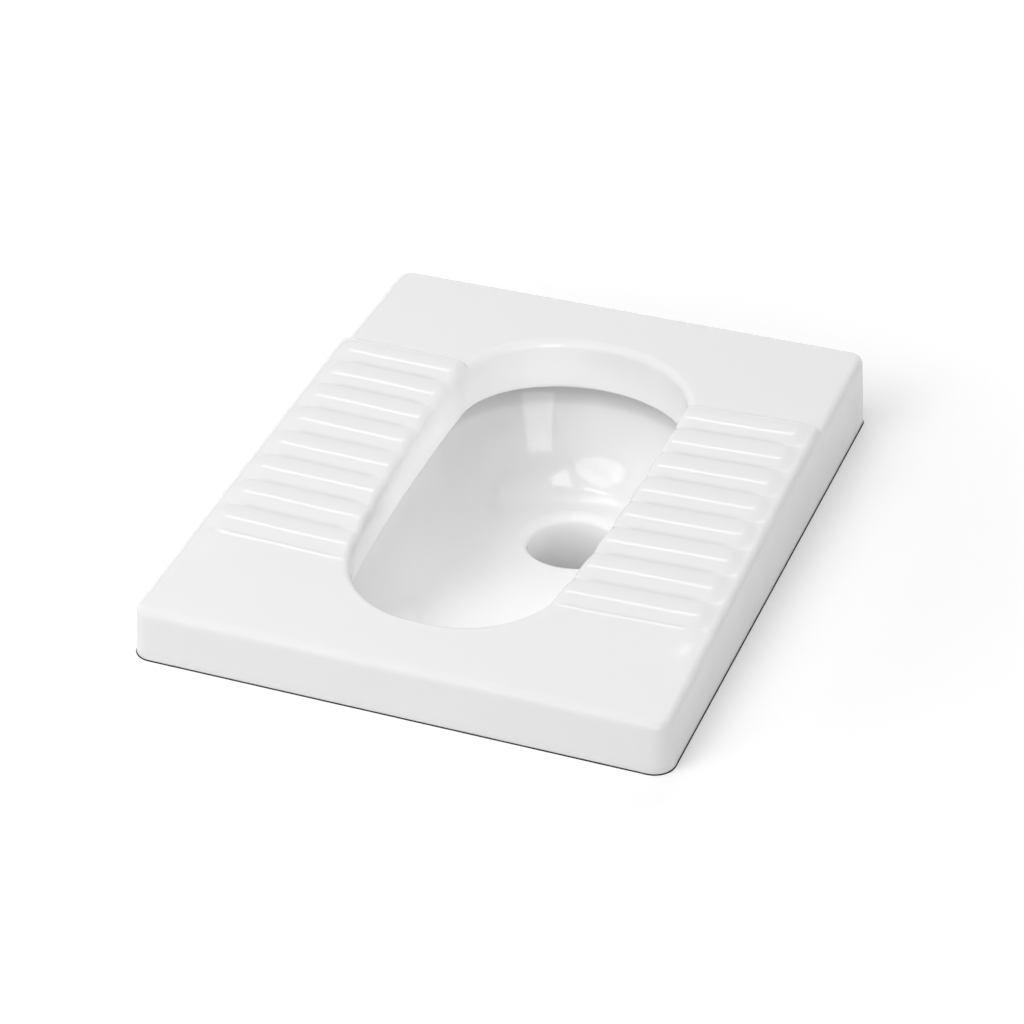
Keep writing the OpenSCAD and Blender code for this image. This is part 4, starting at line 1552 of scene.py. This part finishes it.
    def outlet_bend(self) -> Piece:
        """The spigot, the second bend and the riser's socket with its groove.

        Returns:
            The piece.
        """
        spigot_l = self.weld_l - self.weld_gap
        about = Matrix.Rotation(HALF_TURN, 4, "Z")
        outside = place(self._bend(self.riser_l - PAST, spigot_l),
                        upright(self.riser_y, self.riser_floor_z - PAST) @ about)
        ridge = place(self._seam(PAST, 0.6 * PAST), upright(self.riser_y, self.bend_z + PAST) @ about)
        body_r, bulge_r = self.riser_bore_r + self.riser_t, self.groove_r + 3.5
        low, high, end = self.groove_low, self.groove_low + self.groove_h, self.riser_cup_l
        cup = solid([
            (self.pipe_r, self.cup_root), (body_r, -2, 4), (body_r, low - 6, 2),
            (bulge_r, low - 3, 2), (bulge_r, high + 2.5, 2), (body_r + 0.8, high + 5, 1),
            (body_r + 0.8, end, 1)])
        combine(outside, [ridge, place(cup, self.at_riser)], Merge.JOIN)
        bore = bent_rod(self.bore_r, self.riser_l + PAST, self.bend_r, spigot_l + PAST)
        cup_bore = solid([
            (self.riser_bore_r, 0, 1), (self.riser_bore_r, low), (self.groove_r, low, 0.8),
            (self.groove_r, high, 0.8), (self.riser_bore_r, high), (self.riser_bore_r, end - 2.5, 1),
            (self.riser_bore_r + 2.4, end + PAST)])
        return combine(outside, [
            place(bore, upright(self.riser_y, self.riser_floor_z + PAST) @ about),
            place(cup_bore, self.at_riser)], Merge.REMOVE)

    def elbow(self) -> Piece:
        """The elbow that turns the riser's flow level, with a chamfered spigot at each end.

        Returns:
            The piece.
        """
        foot = self.elbow_foot_z
        rise = self.elbow_start_z - foot
        over = Matrix.Rotation(HALF_TURN, 4, "Y")
        outside = place(self._bend(rise - self.tip_l + PAST, self.outlet_l - self.tip_l),
                        upright(self.riser_y, foot + self.tip_l - PAST) @ over)
        ridge = place(self._seam(PAST, PAST), upright(self.riser_y, self.elbow_start_z - PAST) @ over)
        spigot_r = self.pipe_r - 0.02
        tips = [solid([(self.pipe_r - 1.6, 0, 0.8), (spigot_r, self.tip_l),
                       (spigot_r, self.tip_l + PAST)]) for _ in range(2)]
        bead = solid([(self.pipe_r, 0), (self.bead_r, 1, 1), (self.bead_r, 4, 1), (self.pipe_r, 5)])
        combine(outside, [
            ridge, place(tips[0], upright(self.riser_y, foot)),
            place(tips[1], forward(self.outlet_y + self.outlet_l, self.outlet_z)),
            place(bead, rearward(self.outlet_y + 7.5, self.outlet_z))], Merge.JOIN)
        bore = bent_rod(self.bore_r, rise + PAST, self.bend_r, self.outlet_l + PAST)
        return combine(outside, [place(bore, upright(self.riser_y, foot - PAST) @ over)],
                       Merge.REMOVE)

    def outlet_seal(self) -> Piece:
        """The finned rubber sleeve between the pan's spigot and the trap's socket.

        Returns:
            The piece.
        """
        outer = self.cup_bore_r - self.seal_gap
        inner, flange_r = outer - self.sleeve_t, outer + self.flange_w
        fins: list[Corner] = []
        for top in (-6 - self.fin_pitch * k for k in range(self.fin_count)):
            fins += [(inner, top, 1.2), (self.fin_r, top - 3, 0.8), (self.fin_r, top - 5.5, 0.8),
                     (inner, top - 7, 1.2)]
        seal = turned([
            (flange_r, 0, 0.8), (flange_r, self.sleeve_t, 1.2), (inner, self.sleeve_t, 1.5),
            *fins, (inner, -self.sleeve_l, 0.8), (outer, -self.sleeve_l, 0.8), (outer, 0, 0.5)], 4)
        return place(seal, upright(self.drain_y, self.cup_floor_z + self.cup_l + self.seal_gap))

    def elbow_seal(self) -> Piece:
        """The rubber lip ring in the groove of the riser's socket.

        Returns:
            The piece.
        """
        out, high = self.groove_r - self.seal_gap, self.groove_h - 2 * self.seal_gap
        ring = turned([
            (self.lip_r + 1.2, 0, 0.6), (out, 0, 1.0), (out, high, 1.0),
            (self.lip_r + 1.6, high, 0.6), (self.lip_r, high / 2 + 0.3, 0.4),
            (self.lip_r, high / 2 - 1.2, 0.4)], 4)
        return place(ring, upright(
            self.riser_y, self.riser_floor_z + self.groove_low + self.seal_gap))

    def gasket(self) -> Piece:
        """The flat ring under the cap, with a bead on each face.

        Returns:
            The piece.
        """
        low, high = self.neck_bore_r + 0.5, self.neck_r - 0.5
        mid, dip, top = (low + high) / 2, self.gasket_bead, self.gasket_t
        ring = turned([
            (low, dip, 0.4), (mid, dip, 0.2), (mid, 0, 0.2), (high, 0, 0.4),
            (high, top, 0.4), (mid, top, 0.2), (mid, top - dip, 0.2), (low, top - dip, 0.4)], 3)
        return place(ring, self.at_eye)

    def cap(self) -> Piece:
        """The screw cap, with grip ribs and a dished hexagon for a spanner.

        Returns:
            The piece.
        """
        outer, foot, face = self.cap_bore_r + self.cap_t, -self.cap_skirt, self.gasket_t + self.cap_t
        dish, six = face - self.cap_dish, self.hexagon_r
        cap = solid([
            (outer, foot, 0.6), (outer, face, 2.2), (outer - 7, face, 0.6), (outer - 8, dish, 0.6),
            (six + 5, dish, 0.6), (six + 4, face, 0.6)])
        grip_l = self.cap_skirt + face - 1
        grip = solid([(self.grip_r, 0, 0.3), (self.grip_r, grip_l, 1.5)], 3, 12)
        place(grip, at(outer, 0, foot))
        top = face + self.hexagon_h
        hexagon = solid([(six, face - PAST), (six, top, 1.2), (six - 4, top, 0.4),
                         (six - 5, top - self.hexagon_dish, 0.8)], 3, 6)
        combine(cap, [repeat_round(grip, self.grip_count), hexagon], Merge.JOIN)
        hollow = solid([
            (self.cap_bore_r + 0.8, foot - PAST), (self.cap_bore_r, foot + 1, 0.5),
            (self.cap_bore_r, self.gasket_t, 0.8)])
        return place(combine(cap, [hollow], Merge.REMOVE), self.at_eye)

    def build(self, kit: "Kit") -> None:
        """Makes the trap's pieces and dresses them.

        Args:
            kit: The materials.
        """
        kit.dress(self.inlet_bend(), "trap_inlet_bend", "trap", "grey_plastic")
        kit.dress(self.outlet_bend(), "trap_outlet_bend", "trap", "grey_plastic")
        kit.dress(self.outlet_seal(), "pan_outlet_seal", "trap", "black_rubber")
        kit.dress(self.elbow_seal(), "elbow_seal", "trap", "black_rubber")
        kit.dress(self.elbow(), "outlet_elbow", "elbow", "grey_plastic")
        kit.dress(self.gasket(), "cap_gasket", "gasket", "black_rubber")
        kit.dress(self.cap(), "cleaning_cap", "cap", "dark_grey_plastic")


# ------------------------------------------------------- the flush connection


@dataclass
class FlushConnection:
    """The rubber connector on the horn and its two hose clips."""

    axis_z: float = -37.0
    horn_end_y: float = 295.5
    horn_r: float = 27.0
    pipe_r: float = 20.0
    wall: float = 3.2
    grip: float = 28.0
    neck_l: float = 11.0
    gap: float = 0.3
    shoulder: float = 1.5
    lip: float = 1.1
    band_w: float = 12.0
    band_t: float = 0.9
    slot_pitch: float = 3.1
    slot_share: Pair = (0.42, 0.62)
    tail_start: float = math.radians(8)
    tail_turn: float = math.radians(32)
    worm_r: float = 3.2
    worm_turns: int = 5
    housing_l: float = 15.0
    housing_wall: float = 1.0
    head_h: float = 5.0
    driver_slot: float = 1.0

    def __post_init__(self) -> None:
        """Works out the radii and the places of the clips, as (Y, radius under the band)."""
        self.big_r = self.horn_r + self.gap + self.wall
        self.small_r = self.pipe_r + self.wall
        self.clips = [(self.horn_end_y - self.grip / 2, self.big_r),
                      (self.horn_end_y + self.neck_l + self.grip / 2, self.small_r)]

    def connector(self) -> Piece:
        """The stepped rubber connector, with a lip at each end.

        Returns:
            The piece.
        """
        inner, big, small = self.horn_r + self.gap, self.big_r, self.small_r
        neck, end = self.grip + self.neck_l, 2 * self.grip + self.neck_l
        stop_r = self.pipe_r - self.shoulder
        ring = turned([
            (inner, 0, 0.8), (big + self.lip, 0, 1.2), (big + self.lip, 3.5, 0.9), (big, 5, 0.7),
            (big, self.grip - 1, 5), (small, neck + 1, 5), (small, end - 5, 0.7),
            (small + self.lip, end - 3.5, 0.9), (small + self.lip, end, 1.2),
            (self.pipe_r, end, 0.8), (self.pipe_r, neck, 0.4), (stop_r, neck, 0.4),
            (stop_r, neck - 2, 0.6), (inner, self.grip + self.gap, 1.2)])
        return place(ring, rearward(self.horn_end_y - self.grip, self.axis_z))

    def band(self, y: float, r: float) -> Piece:
        """A clip's slotted band with its free end.

        Args:
            y: The clip's place.
            r: Radius of the socket under it.

        Returns:
            The piece.
        """
        low, high, wide = r + self.gap, r + self.gap + self.band_t, self.band_w
        ring = turned([(low, 0), (high, 0, 0.3), (high, wide, 0.3), (low, wide)], 3, 128)
        along, across = self.slot_share
        slot = block((3 * self.band_t, along * self.slot_pitch, across * wide), (high, 0, wide / 2))
        slots = repeat_round(slot, round(FULL_TURN * high / self.slot_pitch))
        combine(ring, [slots], Merge.REMOVE)
        tail = turned([(high + 0.1, 1), (high + 0.8, 1, 0.2), (high + 0.8, wide - 1, 0.2),
                       (high + 0.1, wide - 1)], 2, 16, self.tail_turn)
        place(tail, Matrix.Rotation(self.tail_start, 4, "Z"))
        combine(ring, [tail], Merge.JOIN)
        return place(ring, rearward(y - wide / 2, self.axis_z))

    def _saddle(self, r: float) -> float:
        """Radius at which a housing sits on the band."""
        return r + 2 * self.gap + self.band_t

    def _worm_x(self, r: float) -> float:
        """Distance of a worm screw from the band's axis."""
        return self._saddle(r) + self.housing_wall + self.gap + self.worm_r

    def housing(self, y: float, r: float) -> Piece:
        """A clip's pressed housing, which sits on the band.

        Args:
            y: The clip's place.
            r: Radius of the socket under it.

        Returns:
            The piece.
        """
        saddle, worm_x, long = self._saddle(r), self._worm_x(r), self.housing_l
        base = math.sqrt(saddle ** 2 - long ** 2 / 4) - 1
        body = round_edges(block((worm_x - base, self.band_w, long), ((worm_x + base) / 2, 0, 0)),
                           0.7, 3)
        inner = self.worm_r + self.gap
        outer = inner + self.housing_wall
        tube = solid([(outer, 0, 0.4), (outer, long, 0.4)], 3, 48)
        combine(body, [place(tube, at(worm_x, 0, -long / 2))], Merge.JOIN)
        tunnel = solid([(inner, 0), (inner, long + 2 * PAST)], 3, 48)
        place(tunnel, at(worm_x, 0, -long / 2 - PAST))
        seat = solid([(saddle, 0), (saddle, self.band_w + 2 * PAST)], 3, 128)
        place(seat, rearward(-self.band_w / 2 - PAST, 0))
        combine(body, [tunnel, seat], Merge.REMOVE)
        return place(body, upright(y, self.axis_z))

    def screw(self, y: float, r: float) -> Piece:
        """A worm screw with a slotted hexagon head.

        Args:
            y: The clip's place.
            r: Radius of the socket under it.

        Returns:
            The piece.
        """
        head_z, core, head_r = self.housing_l + 2, self.worm_r - 0.8, self.worm_r + 1.2
        washer_r, top = self.worm_r + 0.9, head_z + self.head_h
        screw = solid([(core, 0, 0.6), (core, head_z - 0.6), (washer_r, head_z - 0.6),
                       (washer_r, head_z + 0.4)], 3, 32)
        worm = thread([(core - 0.2, -0.9), (self.worm_r, -0.35), (self.worm_r, 0.35),
                       (core - 0.2, 0.9)], self.slot_pitch, self.worm_turns, 32)
        head = solid([(head_r, head_z, 0.5), (head_r, top, 0.8)], 3, 6)
        combine(screw, [place(worm, upright(0, 0.9)), head], Merge.JOIN)
        slot = block((3 * head_r, self.driver_slot, 3.0), (0, 0, top))
        combine(screw, [slot], Merge.REMOVE)
        return place(screw, at(self._worm_x(r), y, self.axis_z - self.housing_l / 2 - 1.5))

    def build(self, kit: "Kit") -> None:
        """Makes the connection's pieces and dresses them.

        Args:
            kit: The materials.
        """
        kit.dress(self.connector(), "flush_connector", "floor_pan", "black_rubber")
        for node, clip in zip(("horn_clip_band", "pipe_clip_band"), self.clips):
            kit.dress(self.band(*clip), node, "floor_pan", "stainless_steel")
        for node, make in (("clip_housings", self.housing), ("clip_screws", self.screw)):
            pair = together([make(*clip) for clip in self.clips])
            kit.dress(pair, node, "floor_pan", "stainless_steel")


# ------------------------------------------------------------------ the stage


@dataclass(frozen=True)
class Softbox:
    """A lamp with a flat, even face, in metres, whose radiance of 1 is white.

    A mirrored one shows only in reflections, and any other one only sheds light.
    """

    name: str
    at: Place
    size: Pair
    radiance: float
    towards: Place = (0.0, 0.0, 0.0)
    mirrored: bool = False
    shape: str = "RECTANGLE"

    def hang(self) -> None:
        """Puts the lamp into the scene."""
        data = bpy.data.lights.new(self.name, "AREA")
        data.shape = self.shape
        data.size, data.size_y = self.size
        data.energy = self.radiance * math.pi * self.size[0] * self.size[1]
        lamp = bpy.data.objects.new(self.name, data)
        bpy.context.scene.collection.objects.link(lamp)
        lamp.location = self.at
        aim = Vector(self.towards) - Vector(self.at)
        lamp.rotation_euler = aim.to_track_quat("-Z", "Y").to_euler()
        lamp.visible_camera = False
        lamp.visible_diffuse = not self.mirrored
        lamp.visible_glossy = self.mirrored


@dataclass
class Studio:
    """White floor, soft lamps, white surroundings and the camera."""

    camera_at: Place = (752.65, -2013.64, 1398.0)
    camera_turn: float = math.radians(20.68)
    camera_tilt: float = math.radians(32.73)
    focal_px: float = 3110.8
    image_px: float = 1024.0
    sensor: float = 36.0
    floor_spread: float = 30.0
    floor_white: Colour = (0.88, 0.88, 0.88)
    floor_glow: Pair = (0.155, 0.42)
    glow_spread: Pair = (0.34, 1.0)
    # The black sheet under the gap round the slab's foot paints the contact shadow
    joint_gap: float = 0.5
    shadow_sheet_spread: float = 0.985
    contact_shadow_black: Colour = (0.02, 0.02, 0.02)
    ambient: float = 0.33
    lamps: tuple[Softbox, ...] = (
        Softbox("overhead", (-0.3, -0.6, 2.9), (2.2, 1.8), 2.35),
        Softbox("key", (-1.4, -2.3, 2.2), (2.0, 1.8), 3.9),
        Softbox("rear_fill", (-0.6, 2.4, 2.2), (2.0, 1.4), 2.1),
        Softbox("right_fill", (2.6, -0.4, 0.65), (1.6, 0.9), 1.5),
        Softbox("strip", (-1.55, 3.18, 4.1), (2.4, 0.46), 2.5, (-1.55, -0.03, 0.06), True),
        Softbox("window", (1.2, -2.5, 1.15), (0.95, 2.2), 3.2, mirrored=True),
        Softbox("skylight", (-0.7, -2.2, 2.0), (1.3, 0.3), 4.0, mirrored=True),
        Softbox("rim_fill", (-0.01, 0.05, 0.04), (0.2, 0.03), 2.6, (-0.11, 0.05, 0.18)),
        Softbox("far_fill", (0.0, 0.04, 0.05), (0.1, 0.03), 1.7, (0.0, 0.2, 0.045)),
        Softbox("wall_mirror", (-0.046, 0.187, -0.033), (0.015, 0.041), 2.1,
                (-0.059, 0.208, -0.028), True),
        Softbox("drain_mirror", (-0.011, 0.188, -0.063), (0.026, 0.013), 1.8,
                (-0.003, 0.212, -0.067), True, "ELLIPSE"),
        Softbox("bowl_fill", (-0.02, -0.004, 0.052), (0.11, 0.36), 0.62, (-0.02, -0.004, -1.0),
                shape="ELLIPSE"),
        Softbox("drain_fill", (0.0, 0.134, -0.094), (0.07, 0.07), 0.58, (0.0, 0.134, -1.0),
                shape="DISK"),
    )

    def camera(self) -> None:
        """Sets the camera as the fit to the slab's edges gave it."""
        data = bpy.data.cameras.new("camera")
        data.sensor_width = self.sensor
        data.lens = self.focal_px / self.image_px * self.sensor
        data.clip_start, data.clip_end = 0.05, 50.0
        camera = bpy.data.objects.new("camera", data)
        bpy.context.scene.collection.objects.link(camera)
        camera.location = Vector(self.camera_at) * MM
        camera.rotation_euler = (QUARTER - self.camera_tilt, 0, self.camera_turn)
        bpy.context.scene.camera = camera

    def _apron(self, name: str, foot: np.ndarray, spread: float,
               finish: bpy.types.Material) -> None:
        """Lays a flat sheet of which one edge follows the slab's foot.

        Args:
            name: Name of the object.
            foot: The edge's points in millimetres.
            spread: How many times wider the other edge is.
            finish: The material.
        """
        focus()
        bpy.ops.mesh.primitive_circle_add(vertices=len(foot), radius=1)
        sheet = bpy.context.view_layer.objects.active
        sheet.name = name
        sheet.data.vertices.foreach_set("co", (foot * MM).astype(np.float32).ravel())
        bpy.ops.object.mode_set(mode="EDIT")
        bpy.ops.mesh.select_all(action="SELECT")
        bpy.ops.mesh.extrude_region_move()
        bpy.ops.transform.resize(value=(spread, spread, 1), center_override=(0, 0, 0))
        bpy.ops.object.mode_set(mode="OBJECT")
        if sheet.data.polygons[0].normal.z < 0:
            sheet.data.flip_normals()
        sheet.data.materials.append(finish)

    def floor(self, pan: PanCasting) -> None:
        """Lays the floor round the slab's foot, and a black sheet under the gap between them that
        paints the contact shadow.

        Args:
            pan: The casting that stands in the floor.
        """
        white = self._sheet_finish("white_floor", self.floor_white, self.floor_glow)
        # A black sheet under the gap: painted contact shadow
        black = self._sheet_finish("painted_contact_shadow", self.contact_shadow_black, (0.0, 0.0))
        edge = pan.ring(pan.slab(-self.joint_gap), 0.0)
        below = pan.ring(pan.slab(-2 * self.joint_gap), -self.joint_gap)
        self._apron("floor", edge, self.floor_spread, white)
        self._apron("painted_contact_shadow_sheet", below, self.shadow_sheet_spread, black)

    def _sheet_finish(self, name: str, colour: Colour, glow: Pair) -> bpy.types.Material:
        """Matt sheet that takes shadows from above and isn't there from below.

        Args:
            name: Name of the material.
            colour: Its colour.
            glow: Light that it adds, near the slab and further out, where the camera or a
                reflection looks.

        Returns:
            The material.
        """
        material = bpy.data.materials.new(name)
        material.use_nodes = True
        board = Board(material.node_tree)
        board.tree.nodes.clear()
        matt = board.add("BsdfDiffuse", {"Color": opaque(colour)})
        path = board.add("LightPath").outputs
        straight = board.maths("MAXIMUM", path["Is Camera Ray"], path["Is Glossy Ray"])
        away = board.add("VectorMath", {0: board.add("TexCoord").outputs["Object"]},
                         operation="LENGTH")
        spread = board.add("MapRange", {
            "Value": away.outputs["Value"], "From Min": self.glow_spread[0],
            "From Max": self.glow_spread[1], "To Min": glow[0], "To Max": glow[1]})
        strength = board.maths("MULTIPLY", straight, spread.outputs["Result"])
        added = board.add("Emission", {"Color": WHITE, "Strength": strength})
        lit = board.add("AddShader", {0: matt.outputs[0], 1: added.outputs[0]})
        clear = board.add("BsdfTransparent")
        below = board.add("NewGeometry").outputs["Backfacing"]
        mixed = board.add("MixShader", {0: below, 1: lit.outputs[0], 2: clear.outputs[0]})
        board.add("OutputMaterial", {"Surface": mixed.outputs[0]})
        return material

    def surroundings(self) -> None:
        """White where the camera or a reflection looks, and softer as a light."""
        world = bpy.context.scene.world or bpy.data.worlds.new("studio")
        bpy.context.scene.world = world
        world.use_nodes = True
        board = Board(world.node_tree)
        board.tree.nodes.clear()
        path = board.add("LightPath").outputs
        bent = board.maths("MAXIMUM", path["Is Glossy Ray"], path["Is Transmission Ray"])
        seen = board.maths("MAXIMUM", path["Is Camera Ray"], bent)
        strength = board.maths("MULTIPLY_ADD", seen, 1.0 - self.ambient, self.ambient)
        back = board.add("Background", {"Color": WHITE, "Strength": strength})
        board.add("OutputWorld", {"Surface": back.outputs[0]})

    def set_up(self, pan: PanCasting) -> None:
        """Builds the whole stage.

        Args:
            pan: The casting that stands in the floor.
        """
        self.floor(pan)
        self.surroundings()
        for lamp in self.lamps:
            lamp.hang()
        self.camera()
        bpy.context.scene.view_settings.view_transform = "Standard"
        log.info("stage: floor, surroundings, lamps and camera")


def main() -> None:
    """Builds the pieces in order and sets the stage."""
    logging.basicConfig(level=logging.INFO, format="%(name)s: %(message)s")
    kit = Kit()
    pan = PanCasting()
    kit.dress(pan.casting(FlushHorn()), "pan", "floor_pan", "glazed_china")
    SoilTrap().build(kit)
    FlushConnection().build(kit)
    Studio().set_up(pan)


if __name__ == "__main__":
    main()
